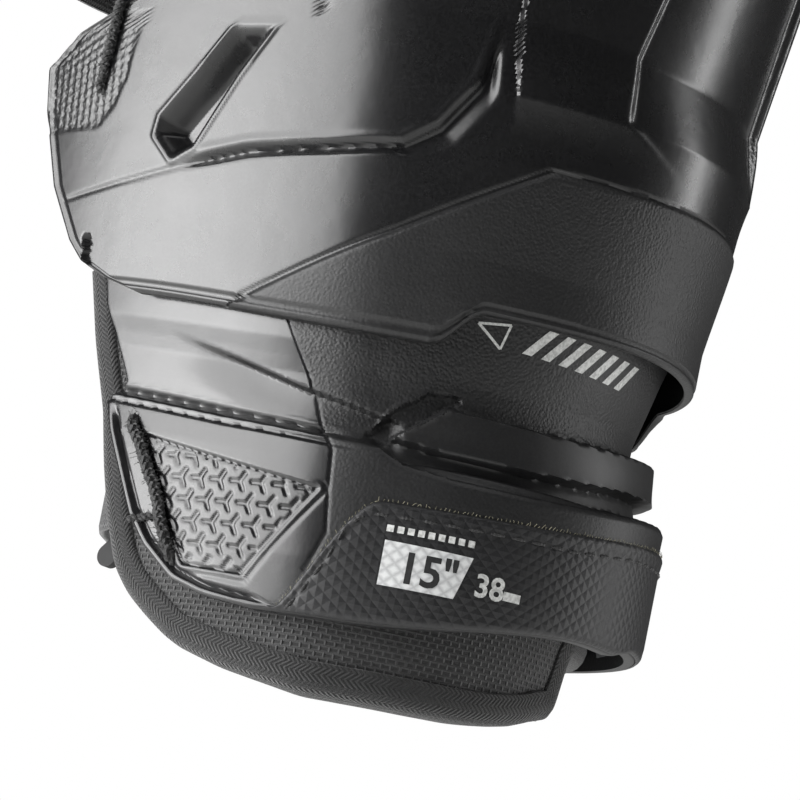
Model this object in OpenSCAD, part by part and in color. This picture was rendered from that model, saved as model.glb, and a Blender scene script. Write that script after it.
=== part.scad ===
// Ice hockey shin guard for the right leg: shells, liners, wrap and straps as separate pieces.
// Millimetres. +Z runs up the leg, the front of the shin faces -Y and the outer side of the leg is -X.
// The origin is on the axis of the lower leg, just above the lower hem of the liner.

/* [Shells] */
// Wall of the moulded shells
shell_wall = 2.5; // [2:0.1:2.6]
// Height of the lower edge of the upper shell at the front centre line
upper_edge_front = 80; // [78:0.5:83]
// Height of the top of the upper shell at the front centre line
upper_top_front = 305; // [290:1:310]
// How far the ring stands out on the front of the lower shell
ring_depth = 5.5; // [3:0.5:6]

/* [Liner] */
// Thickness of the shin liner's foam
liner_foam = 9.5; // [7:0.5:9.5]
// Thickness of the knee and thigh pads
knee_foam = 12; // [8:1:13]
// How far the hem binding stands out from the liner
binding_build = 0.7; // [0.4:0.1:0.8]

/* [Straps] */
// Width of the elastic straps
strap_width = 38; // [30:1:40]
// Thickness of the elastic straps
strap_thick = 2; // [1.5:0.1:2.4]
// Radius of the pivot rivets
rivet_r = 3; // [2.5:0.1:3.2]

/* [Hidden] */
$fn = 48;

// Each form is the outer face of a layer, as rows of
// [height, half width, depth in front of the leg's axis, depth behind it].
lower_form = [[0, 57, 61, 108], [8, 58, 63, 110], [20, 59, 64.5, 110], [32, 59, 65, 110], [43, 58.5, 65.8, 110],
    [46, 57, 57, 110], [49, 57, 56.5, 110], [50, 57.5, 53 + ring_depth, 110], [58, 58, 53.8 + ring_depth, 111],
    [60, 58.4, 52.5, 111], [65, 59.3, 52.4, 112], [72, 59.7, 54.6, 112], [80, 60.2, 57, 113],
    [90, 60.8, 60.5, 113], [112, 62.2, 63.5, 116]];
lower_inner_form = [[0, 54.5, 58.5, 105.5], [8, 55.5, 60.5, 107.5], [20, 56.5, 62, 107.5], [32, 56.5, 62.5, 107.5],
    [39.5, 56, 63, 107.5], [43, 54.5, 54.3, 107.5], [49, 54.5, 54, 107.5], [60, 56, 49.9, 108.5],
    [65, 56.8, 49.9, 109.5], [72, 57.2, 52, 109.5], [80, 57.7, 54.5, 110.5], [90, 58.3, 58, 110.5],
    [112, 59.7, 61, 113.5]];
upper_form = [[66, 62.5, 64.5, 129], [80, 64, 66.4, 130], [90, 65, 66.4, 130.5], [112, 67.2, 69.4, 132],
    [127, 68.7, 70.9, 133.2], [143, 70.2, 67.4, 134.2], [155, 71.2, 69.6, 134.6], [200, 75, 78, 136],
    [300, 78, 89, 136], [352, 79.5, 92, 136]];
leg_form = [[-14, 41, 40, 91], [0, 42.5, 41.5, 93], [50, 43.5, 39.4, 95], [66, 44.2, 39.6, 97], [84, 45, 44, 100],
    [100, 46.5, 46, 102], [150, 52, 51.4, 112], [200, 57, 61, 116], [320, 61, 70, 118]];
knee_form = [[262, 82, 98, 138], [300, 84, 103, 138], [340, 86, 111, 136], [390, 86, 114, 134],
    [430, 82, 107, 130], [448, 78, 99, 126], [458, 74, 92, 122]];
thigh_form = [[420, 73, 89, 124], [455, 70, 86, 122], [480, 70, 86, 122], [515, 71, 87, 122]];
thigh_strap_form = [[440, 72.6, 88.6, 88], [500, 72.6, 88.6, 88]];

// Rear edges, as rows of [height, distance round the layer from the front centre line].
lower_rear = [[6, 84], [8, 98], [11, 107], [18, 116], [25, 122], [44, 133], [51, 136], [56, 132], [74, 141],
    [112, 150]];
upper_rear = [[66, 148], [70, 160], [75, 168], [82, 173], [100, 181], [118, 187], [128, 188], [136, 178], [144, 158],
    [152, 152], [270, 152], [300, 147], [352, 136]];
lower_liner_rear = [[-9.5, 66], [-6, 86], [-2, 100], [3, 108], [8, 115], [14, 120.5], [25, 125.5],
    [37, 129.5], [50, 133], [66, 138.5], [86, 143]];
shin_liner_rear = [[94, 144], [110, 157], [122, 163], [136, 129.5], [280, 126], [308, 116]];
knee_rear = [[262, 96], [275, 112], [300, 134], [320, 150], [345, 158], [380, 160], [425, 160], [440, 152],
    [450, 130], [458, 100]];
thigh_rear = [[420, 124], [430, 128], [445, 128], [480, 118], [500, 104], [510, 86], [515, 66]];

lower_pivot = [0, 38, 88];
knee_pivot = [0, -20, 332];
thigh_pivot = [0, -14, 430];
fit_gap = 0.4;
running_gap = 0.08;

function ease(t) = let(c = max(0, min(1, t))) c * c * (3 - 2 * c);
function column(form, k) = [for (row = form) [row[0], row[k]]];
function rear_share(phi) = ease((min(abs(phi), 360 - abs(phi)) - 60) / 60);

// A point at an angle round the leg, from the front centre line towards -X, on a form grown outwards by off.
function on_form(form, phi, z, off) = let(
        a = lookup(z, column(form, 1)) + off,
        front = lookup(z, column(form, 2)) + off,
        rear = lookup(z, column(form, 3)) + off,
        b = front + (rear - front) * rear_share(phi))
    [-a * sin(phi), -b * cos(phi), z];

// Pairs of [distance, angle] round a grown form at one height, in 3 degree steps.
function arc_table(form, z, off = 0) = [for (phi = 0, s = 0, p = on_form(form, 0, z, off); phi <= 168;
        q = on_form(form, phi + 3, z, off), s = s + norm(q - p), phi = phi + 3, p = q) [s, phi]];
function angle_at(arc, s) = sign(s) * lookup(abs(s), arc);

// A grid of points: rows are nominal heights and each row runs from one rear edge to the other.
// low(s) and high(s) are the shaped lower and upper edges, and the bend fades out over bend[0] and bend[1].
function bent(r, s, rows, low, high, bend) = let(r0 = rows[0], r1 = rows[len(rows) - 1])
    r + (low(s) - r0) * max(0, 1 - (r - r0) / bend[0]) + (high(s) - r1) * max(0, 1 - (r1 - r) / bend[1]);
function grid(form, arc, rows, cols, rear, low, high, off, bend) =
    [for (r = rows) let(reach = lookup(r, rear))
        [for (i = [0:cols]) let(s = reach * (2 * i / cols - 1))
            on_form(form, angle_at(arc, s), bent(r, s, rows, low, high, bend), off)]];

// A closed solid between two grids of the same size, the first one being the outer face.
module sheet(outer, inner) {
    nr = len(outer);
    nc = len(outer[0]);
    size = nr * nc;
    function at(side, r, c) = side * size + r * nc + c;
    function quad(a, b, c, d) = [[a, c, b], [a, d, c]];
    faces = [
        for (r = [0:nr - 2], c = [0:nc - 2])
            each quad(at(0, r, c), at(0, r + 1, c), at(0, r + 1, c + 1), at(0, r, c + 1)),
        for (r = [0:nr - 2], c = [0:nc - 2])
            each quad(at(1, r, c), at(1, r, c + 1), at(1, r + 1, c + 1), at(1, r + 1, c)),
        for (c = [0:nc - 2]) each quad(at(0, 0, c), at(0, 0, c + 1), at(1, 0, c + 1), at(1, 0, c)),
        for (c = [0:nc - 2])
            each quad(at(0, nr - 1, c), at(1, nr - 1, c), at(1, nr - 1, c + 1), at(0, nr - 1, c + 1)),
        for (r = [0:nr - 2]) each quad(at(0, r, 0), at(1, r, 0), at(1, r + 1, 0), at(0, r + 1, 0)),
        for (r = [0:nr - 2])
            each quad(at(0, r, nc - 1), at(0, r + 1, nc - 1), at(1, r + 1, nc - 1), at(1, r, nc - 1))];
    polyhedron(points = [for (g = [outer, inner], row = g, p = row) p], faces = faces);
}

// One layer of even thickness under a form, between two offsets.
module layer(form, arc_z, rows, cols, rear, low, high, top_off, thick, bend = [20, 20], arc_off = 0) {
    arc = arc_table(form, arc_z, arc_off);
    sheet(grid(form, arc, rows, cols, rear, low, high, top_off, bend),
        grid(form, arc, rows, cols, rear, low, high, top_off - thick, bend));
}

module both_sides() {
    children();
    mirror([1, 0, 0]) children();
}

// ---- Shin: the upper shell and all that is fixed to it ----

function upper_low(s) = let(a = abs(s))
    a < 57 ? upper_edge_front - 1.5 * ease(a / 57)
    : a < 70 ? upper_edge_front - 1.5 - 8.5 * ease((a - 57) / 12)
    : upper_edge_front - 10 + 6 * ease((a - 80) / 90);
function upper_high(s) = upper_top_front + 45 * ease((abs(s) - 62) / 40);

module upper_shin_shell() {
    rows = [66, 68, 72, 78, 88, 102, 118, 128, 138, 150, 165, 200, 240, 270, 300, 330, 352];
    color("#17181a") difference() {
        layer(upper_form, 110, rows, 34, upper_rear, function(s) upper_low(s), function(s) upper_high(s), 0,
            shell_wall, [34, 110]);
        translate(knee_pivot) rotate([0, 90, 0]) cylinder(r = rivet_r, h = 200, center = true);
        both_sides() {
            translate([stud_seat, lower_pivot[1], lower_pivot[2]]) rotate([0, 90, 0]) cylinder(r = rivet_r, h = 8);
            translate([-58, 56.5, 85]) rotate([0, 90, 12]) {
                cube([5, 2.2, 12], center = true);
                for (dz = [-2.5, 2.5]) translate([dz, 0, 0]) cylinder(r = 1.1, h = 12, center = true, $fn = 24);
            }
            for (z = wing_rivet_z) translate([-72, 38, z]) rotate([0, 90, 0]) cylinder(r = 2, h = 14, center = true);
        }
    }
}

module upper_shell_foam() {
    rows = [120, 130, 140, 150, 170, 200, 240, 270, 296];
    color("#2a2b2d") layer(upper_form, 110, rows, 18, [[120, 118], [296, 112]],
        function(s) 120, function(s) 296, -shell_wall - fit_gap - 0.6, 3.2);
}

// Heavy thread that ties the shell's rear tab to the liner, drawn through as one run of cord.
module upper_shell_lacing() {
    arc = arc_table(upper_form, 110);
    color("#101010") both_sides() cord_run(
        [for (t = [0:1 / 8:1]) on_form(upper_form, angle_at(arc, 167 - 7 * t), 121 + 32 * t, 1.5)], 1.3);
}

module shin_liner() {
    rows = [94, 106, 118, 126, 140, 170, 200, 240, 280, 308];
    color("#2e2f31") layer(leg_form, 150, rows, 26, shin_liner_rear,
        function(s) 94, function(s) 308, liner_foam, liner_foam);
}

// Tape folded over the liner's edges is drawn as a thin skin on the outer face.
module edge_tape(form, arc_z, rows, rear, low, high, off, width, arc_off = 0) {
    both_sides() {
        arc = arc_table(form, arc_z, arc_off);
        strip = function(lift) [for (r = rows) let(reach = lookup(r, rear),
                z = low + (r - rows[0]) / (rows[len(rows) - 1] - rows[0]) * (high - low))
            [for (s = [reach - width, reach]) on_form(form, angle_at(arc, s), z, off + lift)]];
        sheet(strip(binding_build), strip(0.1));
    }
}

module shin_liner_binding() {
    color("#121212") edge_tape(leg_form, 150, [94, 106, 118, 126, 140, 170, 210, 250, 280, 308],
        shin_liner_rear, 94, 308, liner_foam, 9);
}

wing_centre = [0, 46];
wing_r = 64.8;
wing_rivet_z = [174, 250];
// A point on the wrap's round back, at an angle from +Y towards -X. It widens upwards with the calf.
function wing_radius(z) = wing_r + 0.04 * (z - 150);
function on_wing(a, z, off) = let(r = wing_radius(z) + off)
    [wing_centre[0] - r * sin(a), wing_centre[1] + r * cos(a), z];
function wing_drop(a) = 10 * ease((45 - a) / 30);

module wing_sheet(off, thick, a0, a1, z0, z1, steps = 9) {
    face = function(lift) [for (t = [0:0.2:1]) [for (i = [0:steps]) let(a = a1 + (a0 - a1) * i / steps)
        on_wing(a, z0 + wing_drop(a) + t * (z1 - z0 - 2 * wing_drop(a)), lift)]];
    sheet(face(off), face(off - thick));
}

module lateral_calf_wing() {
    color("#1b1c1e") difference() {
        wing_sheet(-0.2, 2, 20, 100, 164, 268, 12);
        for (z = wing_rivet_z) translate([-66, 38, z]) rotate([0, 90, 0]) cylinder(r = 2, h = 24, center = true);
    }
}

module lateral_calf_pad() {
    color("#2e2f31") wing_sheet(-2.7, 6.3, 16, 82, 158, 272);
}

// Rivets that hold the outer wing inside the shell's rear edge, seated in holes through both.
module wing_rivets() {
    color("#3a3b3d") for (z = wing_rivet_z)
        translate([-1.5 - lookup(z, column(upper_form, 1)), 38, z]) rotate([0, 90, 0]) {
            cylinder(r = 2, h = 10.5);
            translate([0, 0, -1.2]) cylinder(r1 = 3, r2 = 4.4, h = 1.2);
        }
}

stud_seat = -60.9;
module lower_pivot_studs() {
    color("#3a3b3d") both_sides() translate([stud_seat, lower_pivot[1], lower_pivot[2]])
        rotate([0, 90, 0]) cylinder(r = rivet_r, h = 7);
}

knee_rivet_x = 85.6;
module knee_pivot_rivets() {
    color("#3a3b3d") both_sides() translate([-knee_rivet_x, knee_pivot[1], knee_pivot[2]]) rotate([0, 90, 0]) {
        translate([0, 0, -0.5]) cylinder(r = rivet_r, h = 12.5);
        translate([0, 0, -2.3]) cylinder(r1 = 3.6, r2 = 5.2, h = 1.8);
    }
}

// ---- Lower shin: the lower shell, its edge band and its liner ----

// Height at which distances round the lower shell are measured.
cup_arc_z = 49;
function lower_low(s) = s > 0 ? 6.3 + 7 * ease((68 - s) / 60)
    : 6.3 + (7 + 2.2 * ease(-s / 12)) * ease((77 + s) / 12);
lower_top = function(s) 112;

module lower_shin_shell() {
    rows = [6, 8, 11, 16, 22, 32, 39.5, 43, 46, 49, 50, 57, 59, 66, 76, 90, 100, 112];
    outer_arc = arc_table(lower_form, cup_arc_z);
    color("#1d1e20") difference() {
        face = function(form) grid(form, outer_arc, rows, 34, lower_rear, function(s) lower_low(s), lower_top,
            0, [26, 10]);
        sheet(face(lower_form), face(lower_inner_form));
        translate(lower_pivot) rotate([0, 90, 0]) cylinder(r = rivet_r + running_gap, h = 200, center = true);
    }
}

// Embossed vinyl sewn over the front of the lower shell's edge.
function band_high(s) = 36.5 - 2.5 * ease(abs(s) / 62) - 28 * ease((abs(s) - 62) / 20);
module edge_band() {
    rows = [6, 14, 22, 30, 36];
    color("#141516") layer(lower_form, cup_arc_z, rows, 26, [[6, 81], [14, 78], [22, 74], [30, 71], [36, 64]],
        function(s) lower_low(s) + 0.4, function(s) band_high(s), 1.3, 1.1, [26, 28]);
}

// Every stitch of the row along the band's upper edge is its own short solid.
module band_stitching() {
    arc = arc_table(lower_form, cup_arc_z);
    color("#0c0c0c") for (i = [-13:12]) {
        path = [for (t = [0.15, 0.5, 0.85]) let(s = (i + t) * 4.6)
            on_form(lower_form, angle_at(arc, s), band_high(s) - 3.4, 1.5 + 0.25 * sin(180 * t))];
        cord_run(path, 0.35, 4);
    }
}

module size_label() {
    arc = arc_table(lower_form, cup_arc_z);
    corner = function(lift) [for (z = [15.5, 20.5, 25.5]) [for (i = [0:6])
        on_form(lower_form, angle_at(arc, 60.5 - (1 - i / 6) * (15 + (z - 15.5) * 0.25)), z, 1.25 + lift)]];
    color("#b9bbbd") sheet(corner(0.2), corner(0));
}

module lower_shell_foam() {
    rows = [18, 24, 31, 38];
    color("#2a2b2d") layer(lower_form, cup_arc_z, rows, 18, [[16, 46], [39, 46]], function(s) 18, function(s) 38,
        -shell_wall - 1.2, 3);
}

module lower_shell_lacing() {
    arc = arc_table(lower_form, cup_arc_z);
    color("#101010") both_sides() cord_run(
        [for (t = [0:1 / 8:1]) on_form(lower_form, angle_at(arc, 107 + 19.5 * t - 2 * sin(180 * t)), 15 + 33 * t, 1.8)],
        1.5);
}

lower_liner_foam = liner_foam - 0.3;
lower_liner_top = 83;
// Lower edge of the lower liner, against the distance from the front centre line.
hem_edge = [[0, -3.4], [4, -4], [9, -6], [19, -8], [28, -9], [40, -9.4], [58, -9.5]];
// The hem steps up on the inner side of the leg.
hem_step = 16.6;
hem_bend = 45;
function hem_low(s) = s > 0 ? lookup(s, hem_edge) : hem_edge[0][1] + hem_step * ease((-s - 1) / 9);

module lower_liner() {
    rows = [-9.5, -6, -2, 3, 8, 14, 25, 37, 50, 66, 83];
    color("#2e2f31") layer(leg_form, 50, rows, 30, lower_liner_rear,
        function(s) hem_low(s), function(s) lower_liner_top - 3 * ease((60 - abs(s)) / 60),
        lower_liner_foam, lower_liner_foam, [hem_bend, 20], lower_liner_foam);
}

module lower_liner_binding() {
    width = 7;
    arc = arc_table(leg_form, 50, lower_liner_foam);
    hem = function(lift) [for (k = [0:1]) [for (i = [0:24]) let(s = 64 * (i / 12 - 1))
        on_form(leg_form, angle_at(arc, s), hem_low(s) + 0.1 + width * k, lower_liner_foam + lift)]];
    side = function(hand, lift) [for (r = [-6, -2, 3, 8, 14, 25, 37, 50, 66, 82])
        let(reach = lookup(r, lower_liner_rear), z = -2 + (r + 6) / 88 * 84)
        [for (s = hand > 0 ? [reach - width, reach] : [-reach, width - reach])
            on_form(leg_form, angle_at(arc, s), z + (hem_low(s) + 9.5) * max(0, 1 - (z + 9.5) / hem_bend),
                lower_liner_foam + lift)]];
    color("#121212") {
        sheet(hem(binding_build), hem(0.1));
        sheet(side(1, binding_build), side(1, 0.1));
        sheet(side(-1, binding_build), side(-1, 0.1));
    }
}

// ---- Knee ----

function knee_low(s) = 262 + 40 * ease((abs(s) - 50) / 70);
function knee_high(s) = 458 - 12 * ease(abs(s) / 100);

module knee_cap() {
    rows = [262, 268, 278, 295, 315, 335, 360, 390, 415, 432, 444, 452, 458];
    color("#17181a") difference() {
        layer(knee_form, 380, rows, 32, knee_rear, function(s) knee_low(s), function(s) knee_high(s), 0,
            shell_wall, [90, 60]);
        translate(knee_pivot) rotate([0, 90, 0])
            cylinder(r = rivet_r + running_gap, h = 200, center = true);
        translate(thigh_pivot) rotate([0, 90, 0]) cylinder(r = rivet_r, h = 200, center = true);
    }
}

module knee_cap_foam() {
    color("#2a2b2d") layer(knee_form, 380, [325, 350, 380, 408], 16, [[325, 88], [408, 88]], function(s) 325,
        function(s) 408, -shell_wall - fit_gap, 6);
}

module knee_pad() {
    color("#2e2f31") layer(knee_form, 380, [326, 345, 365, 385, 408], 20, [[326, 104], [365, 112], [408, 104]],
        function(s) 325, function(s) 408, -shell_wall - 7.2, knee_foam);
}

thigh_rivet_x = 80.6;
module thigh_pivot_rivets() {
    color("#3a3b3d") both_sides() translate([-thigh_rivet_x, thigh_pivot[1], thigh_pivot[2]]) rotate([0, 90, 0]) {
        translate([0, 0, -2]) cylinder(r = rivet_r, h = 16);
        translate([0, 0, -3.8]) cylinder(r1 = 3.6, r2 = 5.2, h = 1.8);
    }
}

// ---- Thigh ----

thigh_bottom = 420;
function thigh_high(s) = 515 - 9 * ease(abs(s) / 90);

module thigh_plate() {
    rows = [420, 430, 442, 460, 480, 495, 505, 511, 515];
    color("#1d1e20") difference() {
        layer(thigh_form, 460, rows, 24, thigh_rear, function(s) thigh_bottom, function(s) thigh_high(s), 0,
            shell_wall);
        translate(thigh_pivot) rotate([0, 90, 0]) cylinder(r = rivet_r + running_gap, h = 200, center = true);
    }
}

module thigh_pad() {
    rows = [424, 440, 460, 480, 497, 509, 516, 520];
    color("#2e2f31") layer(thigh_form, 460, rows, 22,
        [[424, 96], [440, 112], [480, 118], [497, 110], [509, 97], [516, 82], [520, 62]],
        function(s) 424, function(s) 522 - 10 * ease(abs(s) / 90), -shell_wall - fit_gap - 0.4, knee_foam - 2);
}

module thigh_pad_binding() {
    arc = arc_table(thigh_form, 460);
    hem = function(lift) [for (k = [0:1]) [for (i = [0:20]) let(s = 62 * (i / 10 - 1))
        on_form(thigh_form, angle_at(arc, s), 522.3 - 10 * ease(abs(s) / 90) + 1.4 * k, -3 - lift)]];
    color("#121212") sheet(hem(0), hem(10));
}

// ---- Inner wrap ----

module wrap_side() { mirror([1, 0, 0]) children(); }

rod_r = 1.3;
anchor_angle = 66;
calf_strap_z = [182, 238];
// Distance of a calf strap's rod from the wrap's centre line.
function rod_radius(z) = wing_radius(z + strap_width / 2) + 3.4;

module medial_wrap_plate() {
    color("#1b1c1e") wrap_side() {
        wing_sheet(0, 2.2, 34, 80, 160, 264);
        for (z = calf_strap_z) translate([wing_centre[0], wing_centre[1], z]) rotate([0, 0, anchor_angle]) {
            translate([0, rod_radius(z), 0]) cylinder(r = rod_r, h = strap_width + 6, center = true);
            for (k = [-1, 1]) translate([0, rod_radius(z) - 2, k * (strap_width / 2 + 2.4)])
                cube([5, 7.6, 3.2], center = true);
        }
    }
}

module medial_wrap_pad() {
    color("#2e2f31") wrap_side() wing_sheet(-2.7, 6.3, 24, 80, 158, 272);
}

module medial_wrap_binding() {
    face = function(off, a0) [for (t = [0:0.2:1]) [for (a = [a0 + 8, a0])
        on_wing(a, 158 + wing_drop(a) + t * (114 - 2 * wing_drop(a)), off)]];
    color("#121212") wrap_side() sheet(face(-1.9, 24), face(-2.5, 24));
}

// ---- Straps: each one starts on the inner side, crosses the back and ends on the outer side ----

// A band round the back through a list of points that run from the outer side to the inner side.
module band(path, z, width, thick, inner = 0) {
    n = len(path);
    function out(i) = let(d = path[min(n - 1, i + 1)] - path[max(0, i - 1)]) [-d[1], d[0]] / norm(d);
    face = function(lift) [for (k = [-0.5, 0.5]) [for (i = [0:n - 1]) let(q = path[i] + lift * out(i))
        [q[0], q[1], z + k * width]]];
    sheet(face(inner + thick), face(inner));
}

ankle_strap_z = 37;
ankle_strap_width = 24;
// The closed strap starts behind the outer side's liner and passes outside the liner of the inner side.
ankle_route = [[-33.6, 49.2], [-31, 53], [-27, 57], [-20, 61.2], [-11, 65], [0, 68.4], [12, 71.2], [24, 72.2],
    [33, 70], [40, 65], [44.8, 59.4], [47.4, 54.4]];
ankle_tab_route = [[47.6, 53.9], [48.6, 51.3], [49.1, 48.8]];

// A rubber tab on the inner face of the liner; its rounded lower corner stands out behind the liner's edge.
module ankle_strap_anchor() {
    path = [for (phi = [100:4:120]) let(q = on_form(leg_form, phi, ankle_strap_z, -3.4)) [q[0], q[1]]];
    color("#3b3c3e") {
        band(path, ankle_strap_z, ankle_strap_width, 2);
        hull() {
            translate([-35.4, 41.5, 25.5]) rotate([0, 90, -12]) cylinder(r = 3.6, h = 1.9, center = true);
            translate([-36, 49, 18]) rotate([0, 90, -4]) cylinder(r = 2.6, h = 2.4, center = true);
        }
    }
}

module ankle_strap() {
    color("#202123") band(ankle_route, ankle_strap_z, ankle_strap_width, strap_thick);
}

module ankle_strap_tab() {
    color("#0f0f10") band(ankle_tab_route, ankle_strap_z, ankle_strap_width - 5, strap_thick);
}

// The loop at a calf strap's sewn end runs on its rod.
module calf_strap(z) {
    r = rod_radius(z);
    color("#202123") translate([wing_centre[0], wing_centre[1], z]) {
        band([for (k = [0:25]) let(a = 61 - k * (59.3 + anchor_angle) / 25) r * [-sin(a), cos(a)]], 0,
            strap_width, strap_thick, -strap_thick / 2);
        rotate([0, 0, -anchor_angle]) translate([0, r, 0]) difference() {
            cylinder(r = rod_r + 1.5, h = strap_width, center = true);
            cylinder(r = rod_r + running_gap, h = 2 * strap_width, center = true);
        }
    }
}

module calf_strap_tab(z) {
    r = rod_radius(z);
    color("#0f0f10") band([for (a = [73.6:-3:61.6]) wing_centre + r * [-sin(a), cos(a)]], z, strap_width - 6,
        strap_thick, -strap_thick / 2);
}

module lower_calf_strap() { calf_strap(calf_strap_z[0]); }
module lower_calf_strap_tab() { calf_strap_tab(calf_strap_z[0]); }
module upper_calf_strap() { calf_strap(calf_strap_z[1]); }
module upper_calf_strap_tab() { calf_strap_tab(calf_strap_z[1]); }

thigh_strap_z = 470;
// Angles count from the front centre line towards -X and on round the back.
module thigh_band(phi0, phi1, width, steps) {
    face = function(lift) [for (k = [-0.5, 0.5]) [for (i = [0:steps])
        on_form(thigh_strap_form, phi0 + (phi1 - phi0) * i / steps, thigh_strap_z + k * width, lift)]];
    sheet(face(strap_thick), face(0));
}

module thigh_strap_anchor() {
    color("#202123") thigh_band(274, 288, 26, 3);
}

module thigh_strap() {
    color("#202123") thigh_band(88, 273.5, strap_width - 8, 30);
}

module thigh_strap_tab() {
    color("#0f0f10") thigh_band(74, 87.5, strap_width - 14, 3);
}

// A tube of round-ish section swept along points.
module cord_run(path, r, sides = 8) {
    n = len(path);
    function heading(i) = let(a = path[max(0, i - 1)], b = path[min(n - 1, i + 1)]) (b - a) / norm(b - a);
    function ring(i) = let(t = heading(i), side = cross(t, [0, 0, 1]), u = side / norm(side), v = cross(t, u))
        [for (k = [0:sides - 1]) path[i] + r * (cos(360 * k / sides) * u + sin(360 * k / sides) * v)];
    points = [for (i = [0:n - 1]) each ring(i)];
    faces = [
        [for (k = [0:sides - 1]) k],
        [for (k = [sides - 1:-1:0]) (n - 1) * sides + k],
        for (i = [0:n - 2], k = [0:sides - 1]) let(m = (k + 1) % sides)
            each [[i * sides + k, (i + 1) * sides + k, (i + 1) * sides + m],
                [i * sides + k, (i + 1) * sides + m, i * sides + m]]];
    polyhedron(points = points, faces = faces);
}

upper_shin_shell();
upper_shell_foam();
upper_shell_lacing();
shin_liner();
shin_liner_binding();
lateral_calf_wing();
lateral_calf_pad();
wing_rivets();
lower_pivot_studs();
knee_pivot_rivets();
lower_shin_shell();
edge_band();
band_stitching();
size_label();
lower_shell_foam();
lower_shell_lacing();
lower_liner();
lower_liner_binding();
knee_cap();
knee_cap_foam();
knee_pad();
thigh_pivot_rivets();
thigh_plate();
thigh_pad();
thigh_pad_binding();
medial_wrap_plate();
medial_wrap_pad();
medial_wrap_binding();
ankle_strap_anchor();
ankle_strap();
ankle_strap_tab();
lower_calf_strap();
lower_calf_strap_tab();
upper_calf_strap();
upper_calf_strap_tab();
thigh_strap_anchor();
thigh_strap();
thigh_strap_tab();
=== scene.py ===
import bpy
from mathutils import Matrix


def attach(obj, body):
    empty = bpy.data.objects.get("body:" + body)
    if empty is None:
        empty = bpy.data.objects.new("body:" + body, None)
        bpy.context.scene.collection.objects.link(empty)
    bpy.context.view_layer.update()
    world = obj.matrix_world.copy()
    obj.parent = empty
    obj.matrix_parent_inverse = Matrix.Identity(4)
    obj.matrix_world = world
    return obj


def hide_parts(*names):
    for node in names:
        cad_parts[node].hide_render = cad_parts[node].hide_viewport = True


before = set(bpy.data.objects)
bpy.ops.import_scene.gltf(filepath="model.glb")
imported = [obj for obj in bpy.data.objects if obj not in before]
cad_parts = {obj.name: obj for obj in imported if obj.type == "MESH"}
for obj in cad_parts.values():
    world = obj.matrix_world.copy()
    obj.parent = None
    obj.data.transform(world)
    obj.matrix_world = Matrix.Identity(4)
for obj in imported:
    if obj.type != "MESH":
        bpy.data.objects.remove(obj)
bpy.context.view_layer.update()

import math

import bpy
import numpy as np
from mathutils import Vector

# Lower shin shell: the stiff cup over the ankle, injection moulded in black polypropylene.
# Its sides are polished in the mould and its front is grained, with a raised side platform
# that carries a field of three-armed marks, and a ring that steps out above the edge band.

# [height, half width, depth in front of the leg's axis, depth behind it], in millimetres. The ring
# is laid on this form as relief, so that its ends can slant.
cup_form = np.array([
    (0, 57, 61, 108), (8, 58, 63, 110), (18, 58.9, 64.3, 110), (34, 59, 64.7, 110), (38, 58.9, 65.4, 110),
    (42.4, 58.6, 65.7, 110), (43.8, 58.2, 64.8, 110), (44.6, 57.3, 57.4, 110), (47, 57, 56.6, 110),
    (50, 57.2, 55.4, 110), (57, 57.6, 53.4, 111), (61, 58.3, 52.4, 111), (65, 59.1, 52.4, 112),
    (72, 59.6, 54.6, 112), (80, 60.1, 57, 113), (90, 60.7, 60.5, 113), (112, 62.1, 63.5, 116)])
cup_arc = 50
# Half the shell's width round the cup, against height, and the top edge of the raised lower part.
lower_reach = [(6, 84), (8, 98), (11, 107), (18, 116), (25, 122), (44, 133), (51, 136), (56, 132), (74, 141),
               (112, 150)]
shelf_edge = [(0, 43.4), (22, 42.8), (36, 42.2), (49, 42.2), (60, 43.5), (65, 46.4), (76.5, 47.4),
              (100, 49.6), (134, 53.6), (150, 54)]
polish_line = [(88, 72), (80.5, 59), (77, 50), (73.5, 43.5), (71.5, 25), (74, 17), (80, 4)]
crease_line = [(120, 68), (100, 62.5), (82.5, 57.5), (61.5, 53)]
ring_end = [(66, 45.4), (63.6, 46.3), (47.5, 57.4)]
notch_top = [(66.5, 48.4), (60, 54.5), (51.5, 60), (46.5, 60.5)]
mark_field = [(121, 43), (75, 34.5), (88.5, 14), (104, 15), (110, 24)]


def ease(t):
    """Smooth step from 0 at t = 0 to 1 at t = 1."""
    t = np.clip(t, 0.0, 1.0)
    return t * t * (3.0 - 2.0 * t)


def on_form(form, phi, z, off=0.0):
    """Points at angles from the front centre line towards -X, on a form grown outwards by off."""
    a, front, rear = (np.interp(z, form[:, 0], form[:, k]) + off for k in (1, 2, 3))
    turn = np.abs(phi)
    b = front + (rear - front) * ease((np.minimum(turn, 360 - turn) - 60) / 60)
    p = np.radians(phi)
    return np.stack([-a * np.sin(p), -b * np.cos(p), z + 0 * p], axis=-1)


def angle_at(form, arc_z, s):
    """Angle of the points at a distance s round a form, measured at height arc_z."""
    phi = np.arange(0, 169, 3.0)
    step = np.linalg.norm(np.diff(on_form(form, phi, np.full_like(phi, arc_z)), axis=0), axis=1)
    return np.sign(s) * np.interp(np.abs(s), np.concatenate([[0], np.cumsum(step)]), phi)


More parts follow.
